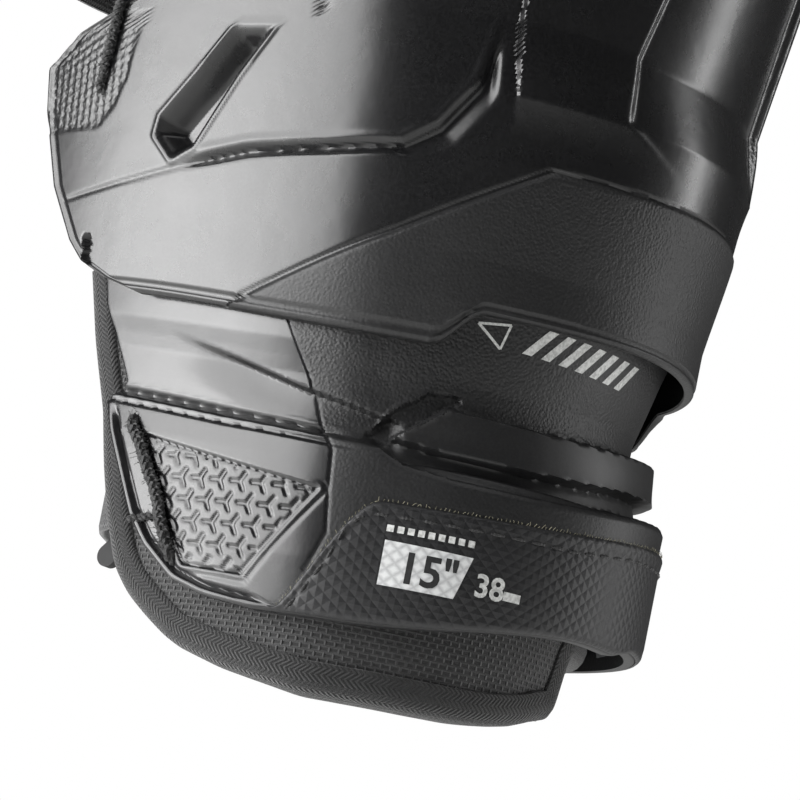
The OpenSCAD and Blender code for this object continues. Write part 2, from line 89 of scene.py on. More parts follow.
def from_line(s, z, line):
    """Distance to a drawn line, and the side of it: 1 to the left of its direction, with s to the right."""
    near, side = np.full(np.shape(s), 1e9), np.ones(np.shape(s))
    for (s0, z0), (s1, z1) in zip(line, line[1:]):
        ds, dz = s1 - s0, z1 - z0
        t = np.clip(((s - s0) * ds + (z - z0) * dz) / (ds * ds + dz * dz), 0, 1)
        ps, pz = s - s0 - t * ds, z - z0 - t * dz
        d = np.hypot(ps, pz)
        side = np.where(d < near, np.where(ds * pz - dz * ps >= 0, 1.0, -1.0), side)
        near = np.minimum(near, d)
    return near, side


def in_field(s, z, outline):
    """Distance inside a closed outline, negative outside it."""
    ring = list(outline) + [outline[0]]
    odd = np.zeros(np.shape(s), bool)
    for (s0, z0), (s1, z1) in zip(ring, ring[1:]):
        if z0 != z1:
            odd ^= ((z0 > z) != (z1 > z)) & (s < s0 + (z - z0) * (s1 - s0) / (z1 - z0))
    near = from_line(s, z, ring)[0]
    return np.where(odd, near, -near)


def groove(distance, width):
    """Round-bottomed channel of full depth 1 at distance 0."""
    return -ease(1 - distance / (width / 2))


def three_arm_marks(s, z):
    """Depth 1 on the three-armed marks of a staggered lattice."""
    pitch, row, arm, width = 5.3, 4.9, 2.3, 0.95
    near = np.full(np.shape(s), 9.0)
    r0 = np.round(z / row)
    for dr in (-1, 0, 1):
        shift = np.where((r0 + dr) % 2 == 0, 0.0, pitch / 2)
        c0 = np.round((s - shift) / pitch)
        for dc in (-1, 0, 1):
            cs, cz = s - (c0 + dc) * pitch - shift, z - (r0 + dr) * row
            for turn in (0, 120, 240):
                ux, uz = math.cos(math.radians(turn)), math.sin(math.radians(turn))
                t = np.clip(cs * ux + cz * uz, 0, arm)
                near = np.minimum(near, np.hypot(cs - t * ux, cz - t * uz))
    return ease((width / 2 + 0.12 - near) / 0.3)


def front_rise(s):
    """How much higher the ring and the edges below it run on the inner half of the front."""
    return 6 * ease((32 - s) / 80) * ease((80 + s) / 28)


def lower_relief(s, z):
    """Height of the lower shell's surface over its cup form, and how polished and how grained it is."""
    side = np.abs(s)
    z = z - front_rise(s)
    shelf = np.interp(side, *zip(*shelf_edge))
    above = z - shelf
    lateral = ease((side - 66) / 10)
    near, hand = from_line(side, z, polish_line)
    polished = ease(0.5 + near * hand / 0.7) * (z > 0)
    # The panel above the crease overhangs a hollow that dies out towards the rear.
    near, hand = from_line(side, z, crease_line)
    depth = 1.9 * ease((121 - side) / 30) * ease((side - 57) / 4)
    hollow = np.where((hand > 0) & (above > 0), ease(near / 1.1) * (1 - 0.8 * ease((near - 1) / 9)), 0.0)
    off = -depth * hollow * ease(above / 2)
    # Channel over the platform, double lined.
    off = (off + 1.3 * lateral * groove(np.abs(above - 0.5), 2.7) + 0.5 * lateral
           * groove(np.abs(above + 2.2), 1.7))
    # Rolled rim and the channel just inside it, along the platform's rear and lower edge.
    rim = [(reach, height) for height, reach in lower_reach[:7]]
    near = from_line(side, z, [(78, 5.6)] + rim)[0]
    held = ease((side - 82) / 4) * ease((51 - z) / 5)
    off = off + held * (0.95 * groove(np.abs(near - 2.7), 1.9) + 0.35 * ease(1 - np.abs(near - 1.1) / 1.1))
    # The field of marks lies slightly sunk in an engraved outline.
    deep = in_field(side, z, mark_field)
    field = ease(deep / 0.6)
    marks = np.where(deep > 0.55, three_arm_marks(side, z), 0.0)
    off = off - 0.22 * field - 0.30 * marks * field
    off = (off + 0.5 * groove(np.abs(deep + 0.1), 1.3) + 0.3 * groove(np.abs(deep + 1.9), 1.3) * (z < 36)
           * (side < 112))
    # The ring round the front, with a slanted end in the notch on either side.
    near, hand = from_line(side, z, ring_end)
    past = near * hand
    on_ring = (ease(0.5 + past / 0.7) * ease((above - 4.2) / 0.9)
               * ease((58.2 - above - 43.5 + 0.02 * side) / 1.3))
    off = off + (4.9 - 2.0 * ease((side - 25) / 30) + 0.9 * ease((z - 48) / 9)) * on_ring
    bead = ease(1 - np.abs(past - 0.35) / 0.5) * ease((z - 45.6) / 1) * ease((58.4 - z) / 1)
    off = off + 0.35 * bead
    near, hand = from_line(side, z, notch_top)
    floor = (ease(0.5 + near * hand / 0.8) * ease(0.5 - past / 0.7) * ease((69 - side) / 3) * (side > 44)
             * ease(above / 1.5))
    off = off - 1.1 * floor
    off = off + 0.4 * ease(1 - np.abs(near * hand + 0.5) / 0.5) * (side > 50) * (side < 66) * (above > 1)
    # Slight step where the polished side meets the grained front.
    near = from_line(side, z, polish_line)[0]
    off = off + 0.3 * groove(near, 0.9) * (z > 16)
    grained = (1 - polished) * ease((above - 13.5) / 1.5) + 0.35 * (1 - polished) * (above < 1)
    grained = np.where((above >= 1) & (past < 0) & (side > 44), np.maximum(grained, 0.8 * (1 - polished)),
                       grained)
    return off, polished, np.clip(grained, 0, 1)


def lower_face(s, z, lift=0.0):
    """Points on the lower shell, lifted clear of it if need be."""
    shelf = np.interp(np.abs(s), *zip(*shelf_edge)) + front_rise(s)
    row = np.where(z < shelf, z * 44.5 / shelf, 44.5 + (z - shelf) * (112 - 44.5) / (112 - shelf))
    p = on_form(cup_form, angle_at(cup_form, cup_arc, s), row, lower_relief(s, z)[0] + lift)
    p[..., 2] = z
    return p


def lower_hem(s):
    """The hem steps up a little on the inner side of the leg."""
    return np.where(s > 0, 6.3 + 7 * ease((68 - s) / 60), 6.3 + (7 + 2.2 * ease(-s / 12))
                    * ease((77 + s) / 12))


def bent_rows(rows, s, low, high, bend):
    """Heights of a grid whose first and last rows follow shaped edges; the bend fades out inwards."""
    r = rows[:, None] + 0 * s
    r0, r1 = rows[0], rows[-1]
    return (r + (low - r0) * np.maximum(0, 1 - (r - r0) / bend[0])
            + (high - r1) * np.maximum(0, 1 - (r1 - r) / bend[1]))


def spaced(*stops):
    """Positions from stops of (start, spacing), ending at the last start."""
    out = []
    for (a, step), (b, _) in zip(stops, stops[1:]):
        out += list(np.linspace(a, b, max(1, round((b - a) / step)), endpoint=False))
    return np.array(out + [stops[-1][0]])


def mesh_from(name, points, faces, **fields):
    """A smooth-shaded mesh object from millimetre points, with a value or a vector at each point."""
    mesh = bpy.data.meshes.new(name)
    mesh.from_pydata((np.reshape(points, (-1, 3)) / 1000).tolist(), [], [list(face) for face in faces])
    mesh.polygons.foreach_set("use_smooth", np.ones(len(mesh.polygons), bool))
    mesh.set_sharp_from_angle(angle=math.radians(52))
    for key, values in fields.items():
        values = np.asarray(values, float)
        vector = values.ndim > 1
        layer = mesh.attributes.new(key, "FLOAT_VECTOR" if vector else "FLOAT", "POINT")
        layer.data.foreach_set("vector" if vector else "value", values.ravel())
    piece = bpy.data.objects.new(name, mesh)
    bpy.context.scene.collection.objects.link(piece)
    return piece


def closed_sheet(name, outer, inner, s, z, **fields):
    """A closed solid between two grids of points, the first one being the outer face.
    Its points carry their distance round the leg and their height as the attribute along."""
    nr, nc = outer.shape[:2]
    o = np.arange(nr * nc).reshape(nr, nc)
    i = o + nr * nc
    runs = [(o[:-1, :-1], o[1:, :-1], o[1:, 1:], o[:-1, 1:]),
            (i[:-1, :-1], i[:-1, 1:], i[1:, 1:], i[1:, :-1]),
            (o[0, :-1], o[0, 1:], i[0, 1:], i[0, :-1]), (o[-1, :-1], i[-1, :-1], i[-1, 1:], o[-1, 1:]),
            (o[:-1, 0], i[:-1, 0], i[1:, 0], o[1:, 0]), (o[:-1, -1], o[1:, -1], i[1:, -1], i[:-1, -1])]
    faces = np.concatenate([np.stack(run, -1).reshape(-1, 4) for run in runs]).tolist()
    along = np.stack([s + 0 * z, z + 0 * s, 0 * s + 0 * z], -1).reshape(-1, 3)
    twice = {key: np.tile(np.asarray(v, float).ravel(), 2) for key, v in fields.items()}
    return mesh_from(name, np.concatenate([outer.reshape(-1, 3), inner.reshape(-1, 3)]), faces,
                     along=np.tile(along, (2, 1)), **twice)


def hex_colour(text):
    """Linear colour of an sRGB hex value."""
    parts = [int(text[k:k + 2], 16) / 255 for k in (1, 3, 5)]
    return [v / 12.92 if v <= 0.04045 else ((v + 0.055) / 1.055) ** 2.4 for v in parts] + [1.0]


def add(material, kind, inputs=None, **settings):
    """Adds a node. Its inputs are values, or nodes or sockets to link from, by the socket's name or place."""
    node = material.node_tree.nodes.new("ShaderNode" + kind)
    for key, value in settings.items():
        setattr(node, key, value)
    for key, value in (inputs or {}).items():
        if isinstance(value, bpy.types.Node):
            value = value.outputs[0]
        if isinstance(value, bpy.types.NodeSocket):
            material.node_tree.links.new(value, node.inputs[key])
        else:
            node.inputs[key].default_value = value
    return node


def new_material(name):
    """An empty node material and its principled shader, already linked to the output."""
    material = bpy.data.materials.new(name)
    material.use_nodes = True
    material.node_tree.nodes.clear()
    shader = add(material, "BsdfPrincipled")
    add(material, "OutputMaterial", {"Surface": shader})
    return material, shader


def set_inputs(material, shader, **inputs):
    """Sets or links the shader's sockets; an underscore stands for a space."""
    for key, value in inputs.items():
        socket = shader.inputs[key.replace("_", " ")]
        if isinstance(value, bpy.types.Node):
            value = value.outputs[0]
        if isinstance(value, bpy.types.NodeSocket):
            material.node_tree.links.new(value, socket)
        else:
            socket.default_value = value


def ramp(material, fac, *stops):
    """Colour ramp between stops of (position, sRGB hex or grey value)."""
    node = add(material, "ValToRGB", {"Fac": fac})
    while len(node.color_ramp.elements) < len(stops):
        node.color_ramp.elements.new(0.5)
    for element, (place, colour) in zip(node.color_ramp.elements, stops):
        element.position = place
        element.color = hex_colour(colour) if isinstance(colour, str) else [colour] * 3 + [1.0]
    return node


# Moulded polypropylene: near black, glossy where the mould was polished and leathery where it was
# etched. The grain is 0.7 mm bumps; the polished faces still waver a little and carry a fine mottle.
moulded, shader = new_material("polypropylene_moulded_black")
place = add(moulded, "TexCoord").outputs["Object"]
polish = add(moulded, "Attribute", attribute_name="polished").outputs["Fac"]
grain = add(moulded, "Attribute", attribute_name="grained").outputs["Fac"]
etched = add(moulded, "TexVoronoi", {"Vector": place, "Scale": 1500.0, "Randomness": 1.0},
             feature="SMOOTH_F1")
waver = add(moulded, "TexNoise", {"Vector": place, "Scale": 110.0, "Detail": 2.0})
mottle = add(moulded, "TexNoise", {"Vector": place, "Scale": 1500.0, "Detail": 2.0, "Roughness": 0.6})
scuff = add(moulded, "TexNoise", {"Vector": place, "Scale": 45.0, "Detail": 6.0, "Roughness": 0.7})
tone = ramp(moulded, mottle, (0.35, "#0f0f10"), (0.7, "#1b1b1c"))
dull = add(moulded, "MapRange",
           {"Value": polish, "From Min": 0.0, "From Max": 1.0, "To Min": 0.42, "To Max": 0.20})
dulled = add(moulded, "Math", {0: scuff, 1: 0.10, 2: dull}, operation="MULTIPLY_ADD")
rough = add(moulded, "Math", {0: grain, 1: 0.06, 2: dulled}, operation="MULTIPLY_ADD")
leather = add(moulded, "Bump", {"Height": etched, "Distance": 0.00022,
                                "Strength": add(moulded, "Math", {0: grain, 1: 0.75}, operation="MULTIPLY")})
pits = add(moulded, "Bump", {"Height": mottle, "Distance": 0.00006, "Strength": 0.22, "Normal": leather})
waves = add(moulded, "Bump", {"Height": waver, "Distance": 0.0006, "Strength": 0.16, "Normal": pits})
set_inputs(moulded, shader, Base_Color=tone, Roughness=rough, Normal=waves, IOR=1.49)

rows = spaced((6, 0.25), (7, 0.6), (13, 0.42), (46, 0.55), (62, 0.7), (80, 2.5), (112, 1))
half = spaced((0, 0.8), (46, 0.6), (74, 0.42), (122, 0.6), (149, 0.25), (150, 1))
u = np.concatenate([-half[:0:-1], half]) / 150
s = u[None, :] * np.interp(rows, *zip(*lower_reach))[:, None]
z = bent_rows(rows, s, lower_hem(s), 112, (26, 10))
relief, polished, grained = lower_relief(s, z)
edge = np.minimum(np.minimum(np.abs(np.abs(u[None, :]) - 1) * 130, rows[:, None] - 6), 3) + 0 * s
outer = lower_face(s, z, -0.9 * (1 - np.sqrt(np.clip(1 - (1 - edge / 0.9).clip(0) ** 2, 0, 1))))
inner = on_form(cup_form, angle_at(cup_form, cup_arc, s), z, -2.5)
inner[..., 0] = np.sign(outer[..., 0]) * np.minimum(np.abs(inner[..., 0]), np.abs(outer[..., 0] * 0.965))
lower_shell = closed_sheet("lower_shell_skin", outer, inner, s, z, polished=polished, grained=grained)
lower_shell.data.materials.append(moulded)
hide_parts("lower_shin_shell")
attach(lower_shell, "lower_shin")

# Edge band: a strip of embossed vinyl sewn over the front of the lower shell's edge with one row of
# thick thread, its cut edge left raw.


def band_top(s):
    side = np.abs(s)
    return 36.5 - 2.5 * ease(side / 62) - 28 * ease((side - 62) / 20) + front_rise(s)


# Calendered PVC: soft black, pressed with a 2.1 mm diamond so that each cushion catches a small light.
vinyl, shader = new_material("pvc_vinyl_embossed_black")
along = add(vinyl, "Attribute", attribute_name="along").outputs["Vector"]
turned = add(vinyl, "Mapping", {"Vector": along, "Rotation": (0, 0, math.radians(45))})
diamonds = add(vinyl, "TexVoronoi", {"Vector": turned, "Scale": 1 / 2.1, "Randomness": 0.0},
               distance="CHEBYCHEV", voronoi_dimensions="2D")
pores = add(vinyl, "TexNoise", {"Vector": along, "Scale": 2.2, "Detail": 4.0, "Roughness": 0.65})
cushions = add(vinyl, "Math", {0: diamonds, 1: -1.0, 2: 1.0}, operation="MULTIPLY_ADD")
pressed = add(vinyl, "Bump", {"Height": cushions, "Distance": 0.0006, "Strength": 0.5})
skin = add(vinyl, "Bump", {"Height": pores, "Distance": 0.0002, "Strength": 0.25, "Normal": pressed})
set_inputs(vinyl, shader, Base_Color=ramp(vinyl, pores, (0.3, "#0E0E10"), (0.75, "#18181A")), Normal=skin,
           IOR=1.52,
           Roughness=add(vinyl, "MapRange", {"Value": pores, "To Min": 0.42, "To Max": 0.6}))

t = spaced((0, 0.02), (0.08, 0.06), (0.9, 0.02), (1, 1))
half = spaced((0, 1.6), (60, 0.8), (80, 0.3), (81, 1))
u = np.concatenate([-half[:0:-1], half])
s = u[None, :] + 0 * t[:, None]
low, high = lower_hem(s) + 0.4, np.maximum(band_top(s), lower_hem(s) + 1.2)
z = low + (high - low) * t[:, None]
edge = np.minimum(np.minimum(z - low, high - z), 81 - np.abs(s)) + 0.05
puff = 0.25 * np.cos(2 * np.pi * s / 4.6) * ease(1 - np.abs(high - z - 3.4) / 2)
lift = (1.25 - 0.7 * (1 - np.minimum(edge / 1.2, 1)) ** 2 - 0.35 * ease(1 - np.abs(high - z - 3.4) / 1.0)
        + 0.3 * puff)
band = closed_sheet("edge_band_vinyl", lower_face(s, z, lift), lower_face(s, z, 0.12), s, z)
band.data.materials.append(vinyl)
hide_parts("edge_band")
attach(band, "lower_shin")


def tubes(name, runs, sides=6):
    """Round cords swept along point lists; each run is (points, radius or radii)."""
    points, faces, base, lengths = [], [], 0, []
    for path, radius in runs:
        path = np.asarray(path, float)
        n = len(path)
        head = np.gradient(path, axis=0)
        head /= np.linalg.norm(head, axis=1, keepdims=True) + 1e-9
        ref = np.where(np.abs(head[:, 2:3]) > 0.9, [[1.0, 0, 0]], [[0, 0, 1.0]])
        a = np.cross(head, ref)
        a /= np.linalg.norm(a, axis=1, keepdims=True)
        b = np.cross(head, a)
        turn = np.linspace(0, 2 * np.pi, sides, endpoint=False)
        r = np.broadcast_to(radius, n)[:, None, None]
        ring = (path[:, None] + r * (np.cos(turn)[None, :, None] * a[:, None] + np.sin(turn)[None, :, None]
                                     * b[:, None]))
        points.append(ring.reshape(-1, 3))
        k = np.arange(n * sides).reshape(n, sides) + base
        k = np.concatenate([k, k[:, :1]], 1)
        faces += np.stack([k[:-1, :-1], k[:-1, 1:], k[1:, 1:], k[1:, :-1]], -1).reshape(-1, 4).tolist()
        faces += [list(k[0, :-1]), list(k[-1, -2::-1])]
        lengths.append(np.repeat(np.concatenate([[0],
                                                 np.cumsum(np.linalg.norm(np.diff(path, axis=0), axis=1))]),
                                 sides))
        base += n * sides
    return mesh_from(name, np.concatenate(points), faces, run=np.concatenate(lengths))


def walk(line, step):
    """Points every step along a drawn line."""
    line = np.asarray(line, float)
    d = np.concatenate([[0], np.cumsum(np.linalg.norm(np.diff(line, axis=0), axis=1))])
    k = np.arange(0, d[-1], step)
    return np.stack([np.interp(k, d, line[:, c]) for c in range(line.shape[1])], -1)


# Waxed bonded thread: dull black with a twist every millimetre and a faint waxy shine.
waxed, shader = new_material("waxed_polyester_thread_black")
run = add(waxed, "Attribute", attribute_name="run").outputs["Fac"]
spot = add(waxed, "TexCoord").outputs["Object"]
twist = add(waxed, "TexNoise", {"Vector": spot, "Scale": 2400.0, "Detail": 3.0})
ply = add(waxed, "Math", {0: add(waxed, "Math", {0: run, 1: 7.0}, operation="MULTIPLY")}, operation="SINE")
height = add(waxed, "Math", {0: ply, 1: 0.3, 2: twist}, operation="MULTIPLY_ADD")
set_inputs(waxed, shader, Base_Color=ramp(waxed, twist, (0.3, "#0b0b0c"), (0.8, "#1c1c1d")), Roughness=0.62,
           IOR=1.5,
           Sheen_Weight=0.15, Normal=add(waxed, "Bump",
                                         {"Height": height, "Distance": 0.0003, "Strength": 0.6}))

seam_path = [(77, 6.8), (74.5, 10.5), (70.6, 18.5), (68.2, 26), (66, 29.2), (62.5, 30.8), (44, 31.3),
             (21, 31.8), (0, 33)]
seam_path = np.array(seam_path + [(-a, b) for a, b in seam_path[-2::-1]], float)
seam_path[:, 1] += np.where(np.abs(seam_path[:, 0]) < 64, front_rise(seam_path[:, 0]), 0)
runs = []
dots = walk(seam_path, 0.2)
for k in range(2, len(dots) - 18, 23):
    piece = dots[k:k + 17]
    arch = np.sin(np.linspace(0, np.pi, len(piece)))
    runs.append((lower_face(piece[:, 0], piece[:, 1], 0.95 + 0.35 * arch), 0.20 + 0.17 * arch ** 0.5))
stitches = tubes("band_stitches", runs)
stitches.data.materials.append(waxed)
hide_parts("band_stitching")
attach(stitches, "lower_shin")

# The woven backing of the vinyl frays into short pale fibres along the raw edge.
dice = np.random.default_rng(7)
across = np.linspace(81, -81, 150)
fray = walk(np.stack([across, band_top(across) + 0.15], -1), 0.9)
runs = []
for a, b in fray:
    if b < lower_hem(a) + 1.5:
        continue
    da, db = dice.normal(0, 0.35), 0.15 + abs(dice.normal(0, 0.3))
    runs.append((lower_face(np.array([a, a + da / 2, a + da]), np.array([b - 0.3, b + db / 2, b + db]),
                            np.array([0.5, 0.75, 0.6 + 0.2 * dice.random()])), 0.055))
fibres = tubes("band_edge_fibres", runs, sides=4)
# Raw polyester backing fibre: a dull straw colour against the black.
raw, shader = new_material("polyester_fibre_raw")
speck = add(raw, "TexNoise", {"Vector": add(raw, "TexCoord").outputs["Object"], "Scale": 300.0})
set_inputs(raw, shader, Base_Color=ramp(raw, speck, (0.3, "#6d6a58"), (0.7, "#a7a38c")), Roughness=0.8)
fibres.data.materials.append(raw)
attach(fibres, "lower_shin")

# Size label: silver ink screen printed on the band, cross-hatched by the vinyl's emboss, with dark
# numerals left out of the block; plain bars stand where the maker prints words.
# Silver ink: aluminium flake in lacquer, so a little metallic, broken up where the emboss shows: the flat ink
# sheet is painted darker along the emboss grooves, partly for thinner ink there and partly as painted shade
# in the grooves.
ink, shader = new_material("screen_ink_silver")
along = add(ink, "Attribute", attribute_name="along").outputs["Vector"]
turned = add(ink, "Mapping", {"Vector": along, "Rotation": (0, 0, math.radians(45))})
hatch = add(ink, "TexVoronoi", {"Vector": turned, "Scale": 1 / 2.1, "Randomness": 0.0}, distance="CHEBYCHEV",
            voronoi_dimensions="2D")
worn = add(ink, "TexNoise", {"Vector": along, "Scale": 1.6, "Detail": 6.0, "Roughness": 0.7})
# Random wear plus the emboss grid; the grid darkens the ink along the grooves as painted shade.
wear_and_groove_shade = add(ink, "Math", {0: worn, 1: 0.35, 2: hatch}, operation="MULTIPLY_ADD")
set_inputs(ink, shader, Base_Color=ramp(ink, wear_and_groove_shade, (0.35, "#dcdddd"), (0.68, "#b4b5b6"), (0.85, "#77787a")),
           Metallic=0.2, Roughness=0.5)
# Matt black ink for the numerals in the block, and matt white ink for the plain marks.
dark_ink, shader = new_material("screen_ink_black")
speck = add(dark_ink, "TexNoise",
            {"Vector": add(dark_ink, "TexCoord").outputs["Object"], "Scale": 900.0, "Detail": 3.0})
set_inputs(dark_ink, shader, Base_Color=ramp(dark_ink, speck, (0.3, "#121213"), (0.7, "#262627")),
           Roughness=0.6)
white_ink, shader = new_material("screen_ink_white")
speck = add(white_ink, "TexNoise",
            {"Vector": add(white_ink, "TexCoord").outputs["Object"], "Scale": 1300.0, "Detail": 4.0})
set_inputs(white_ink, shader, Base_Color=ramp(white_ink, speck, (0.33, "#a3a4a2"), (0.6, "#d2d3d1")),
           Roughness=0.45)


def printed(name, patches, face, lift, material, body):
    """Ink patches, each a four-cornered outline of (distance round, height), laid on a face."""
    points, faces, marks = [], [], []
    for corners in patches:
        (a, b), (c, d), (e, f), (g, h) = corners
        p, q = np.meshgrid(np.linspace(0, 1, 9), np.linspace(0, 1, 5))
        s = (a * (1 - p) + c * p) * (1 - q) + (g * (1 - p) + e * p) * q
        z = (b * (1 - p) + d * p) * (1 - q) + (h * (1 - p) + f * p) * q
        k = np.arange(45).reshape(5, 9) + 45 * len(points)
        faces += np.stack([k[:-1, :-1], k[:-1, 1:], k[1:, 1:], k[1:, :-1]], -1).reshape(-1, 4).tolist()
        points.append(face(s, z, lift).reshape(-1, 3))
        marks.append(np.stack([s, z, 0 * s], -1).reshape(-1, 3))
    piece = mesh_from(name, np.concatenate(points), faces, along=np.concatenate(marks))
    piece.data.materials.append(material)
    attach(piece, body)
    return piece


def numerals(name, text, place, height, face, lift, material, body):
    """Plain numerals printed on a face, reading from place towards smaller distances round the leg."""
    font = bpy.data.curves.new(name, "FONT")
    font.body, font.size, font.resolution_u = text, height * 1.38, 3
    font.offset = 0.03 * height
    maker = bpy.data.objects.new(name + "_type", font)
    mesh = maker.to_mesh()
    flat = np.array([v.co[:2] for v in mesh.vertices], float)
    faces = [list(p.vertices) for p in mesh.polygons]
    s, z = place[0] - flat[:, 0] * 0.9, place[1] + flat[:, 1]
    bpy.data.objects.remove(maker)
    piece = mesh_from(name, face(s, z, lift), faces, along=np.stack([s, z, 0 * s], -1))
    piece.data.materials.append(material)
    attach(piece, body)
    return piece


block = printed("size_block_ink", [((60.5, 15.5), (45.5, 15.5), (43, 25.2), (60.5, 25.5))], lower_face, 1.36,
                ink, "lower_shin")
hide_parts("size_label")
numerals("size_inches_ink", "15\"", (57.2, 16.9), 7.0, lower_face, 1.42, dark_ink, "lower_shin")
numerals("size_metric_ink", "38", (41.8, 17.2), 5.2, lower_face, 1.40, white_ink, "lower_shin")
bars = [((60.6 - 2.0 * k, 27.4), (59.3 - 2.0 * k, 27.4), (59.3 - 2.0 * k, 28.9), (60.6 - 2.0 * k, 28.9))
        for k in range(9)]
printed("label_bars_ink", bars + [((35.4, 17.6), (31.6, 17.6), (31.6, 19.6), (35.4, 19.6))], lower_face,
        1.38, white_ink, "lower_shin")
slants = [((33.5 - 5 * k, 73.6), (31 - 5 * k, 73.6), (26.5 - 5 * k, 80), (29 - 5 * k, 80)) for k in range(7)]
mark = [(45.5, 77.6), (38.2, 78.8), (38.8, 73.2)]
outline = []
for (a, b), (c, d) in zip(mark, mark[1:] + mark[:1]):
    n = np.array([d - b, a - c]) / math.hypot(c - a, d - b) * 0.28
    outline.append(((a - n[0], b - n[1]), (c - n[0], d - n[1]), (c + n[0], d + n[1]), (a + n[0], b + n[1])))
printed("shell_marks_ink", slants + outline, lower_face, 0.06, white_ink, "lower_shin")

# Lower lacing: heavy waxed cord that ties the shell to the liner behind it, drawn through two holes on
# each side and left as one twisted, slightly fuzzy run.


def twisted_cord(path, strand, coil, pitch, strands=3):
    """Runs of strands laid round a path, which dive below the surface at both ends."""
    path = np.asarray(path, float)
    d = np.concatenate([[0], np.cumsum(np.linalg.norm(np.diff(path, axis=0), axis=1))])
    k = np.linspace(0, d[-1], int(d[-1] / 0.45))
    spine = np.stack([np.interp(k, d, path[:, c]) for c in range(3)], -1)
    head = np.gradient(spine, axis=0)
    head /= np.linalg.norm(head, axis=1, keepdims=True)
    a = np.cross(head, [[0, 0, 1.0]])
    a /= np.linalg.norm(a, axis=1, keepdims=True)
    b = np.cross(head, a)
    runs = []
    for n in range(strands):
        turn = (2 * np.pi * (k / pitch + n / strands))[:, None]
        lump = 1 + 0.18 * np.sin(k * 1.7 + 2 * n)[:, None]
        runs.append((spine + coil * lump * (np.cos(turn) * a + np.sin(turn) * b), strand
                     * (1 + 0.12 * np.sin(k * 2.3 + n))))
    return runs, spine


def fuzz(spine, reach, count, dice):
    """Short loose hairs round a cord."""
    runs = []
    for _ in range(count):
        p = spine[dice.integers(len(spine))]
        d1, d2 = dice.normal(0, 1, 3), dice.normal(0, 1, 3)
        d1 *= reach / np.linalg.norm(d1)
        runs.append((np.array([p + 0.6 * d1, p + d1 + 0.15 * d2, p + 1.35 * d1 + 0.45 * d2]), 0.06))
    return runs


runs = []
for side in (1, -1):
    t = np.linspace(0, 1, 40)
    s = side * (107 + 19.5 * t - 2 * np.sin(np.pi * t))
    z = 15 + 33 * t
    lift = 0.9 + 0.5 * np.sin(np.pi * t) - 2.6 * (1 - ease(t / 0.06)) - 2.6 * (1 - ease((1 - t) / 0.06))
    cord, spine = twisted_cord(lower_face(s, z, lift), 0.78, 0.72, 5.2)
    runs += cord + fuzz(spine, 1.7, 260, dice)
    t = np.linspace(0, 1, 12)
    branch, spine = twisted_cord(lower_face(side * (112.2 + 9.3 * t), 25 - 1.2 * t, 1.0 - 1.3 * t ** 3), 0.5,
                                 0.45, 3.6, 2)
    runs += branch + fuzz(spine, 1.0, 40, dice)
lacing = tubes("lower_shell_cord", runs, sides=6)
lacing.data.materials.append(waxed)
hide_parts("lower_shell_lacing")
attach(lacing, "lower_shin")

# Lower liner: foam faced with spacer mesh, its edge bound in knitted tape. It rides with the lower
# shell and flexes into the shin liner above it.
leg_form = np.array([(-14, 41, 40, 91), (0, 42.5, 41.5, 93), (50, 43.5, 39.4, 95), (66, 44.2, 39.6, 97),
                     (84, 45, 44, 100), (100, 46.5, 46, 102), (150, 52, 51.4, 112), (200, 57, 61, 116),
                     (320, 61, 70, 118)])
lower_foam = 9.2
lower_liner_reach = [(-9.5, 66), (-6, 86), (-2, 100), (3, 108), (8, 115), (14, 120.5), (25, 125.5),
                     (37, 129.5), (50, 133),
                     (66, 138.5), (86, 143)]
hem_edge = [(0, -3.4), (4, -4), (9, -6), (19, -8), (28, -9), (40, -9.4), (58, -9.5)]


def liner_hem(s):
    """The hem steps up on the inner side, where the shell's own hem is higher."""
    return np.where(s > 0, np.interp(s, *zip(*hem_edge)), -3.4 + 16.6 * ease((-s - 1) / 9))


outer_leg = leg_form + np.array([0, lower_foam, lower_foam, lower_foam])


def lower_liner_face(s, z, lift=0.0):
    return on_form(outer_leg, angle_at(outer_leg, 50, s), z, lift)


# Spacer mesh: knitted polyester net of 2.1 by 1.35 mm cells over foam, soft black with a dry sheen. The
# cells, sunk by the bump, are painted darker than the yarn round them: painted shade in the holes.
mesh_cloth, shader = new_material("spacer_mesh_knitted_black")
along = add(mesh_cloth, "Attribute", attribute_name="along").outputs["Vector"]
cells = add(mesh_cloth, "TexBrick", {"Vector": along, "Color1": (1, 1, 1, 1), "Color2": (0.85, 0.85, 0.85, 1),
                                     "Mortar": (0, 0, 0, 1), "Scale": 1.0, "Mortar Size": 0.42,
                                     "Mortar Smooth": 1.0,
                                     "Brick Width": 2.1, "Row Height": 1.35}, offset=0.5)
yarn = add(mesh_cloth, "TexNoise", {"Vector": along, "Scale": 3.0, "Detail": 3.0, "Roughness": 0.7})
weave_and_hole_shade = add(mesh_cloth, "Math", {0: yarn, 1: 0.35, 2: cells}, operation="MULTIPLY_ADD")
# Base colour darkest in the sunk cells: painted shade in the holes of the net.
set_inputs(mesh_cloth, shader, Base_Color=ramp(mesh_cloth, weave_and_hole_shade, (0.15, "#272728"), (0.6, "#1c1c1d"),
                                               (1.0, "#0c0c0d")),
           Roughness=0.85, Sheen_Weight=0.35, Sheen_Roughness=0.5,
           Normal=add(mesh_cloth, "Bump", {"Height": add(mesh_cloth, "Math", {0: weave_and_hole_shade, 1: -1.0},
                                                         operation="MULTIPLY"),
                                           "Distance": 0.0007, "Strength": 0.9}))
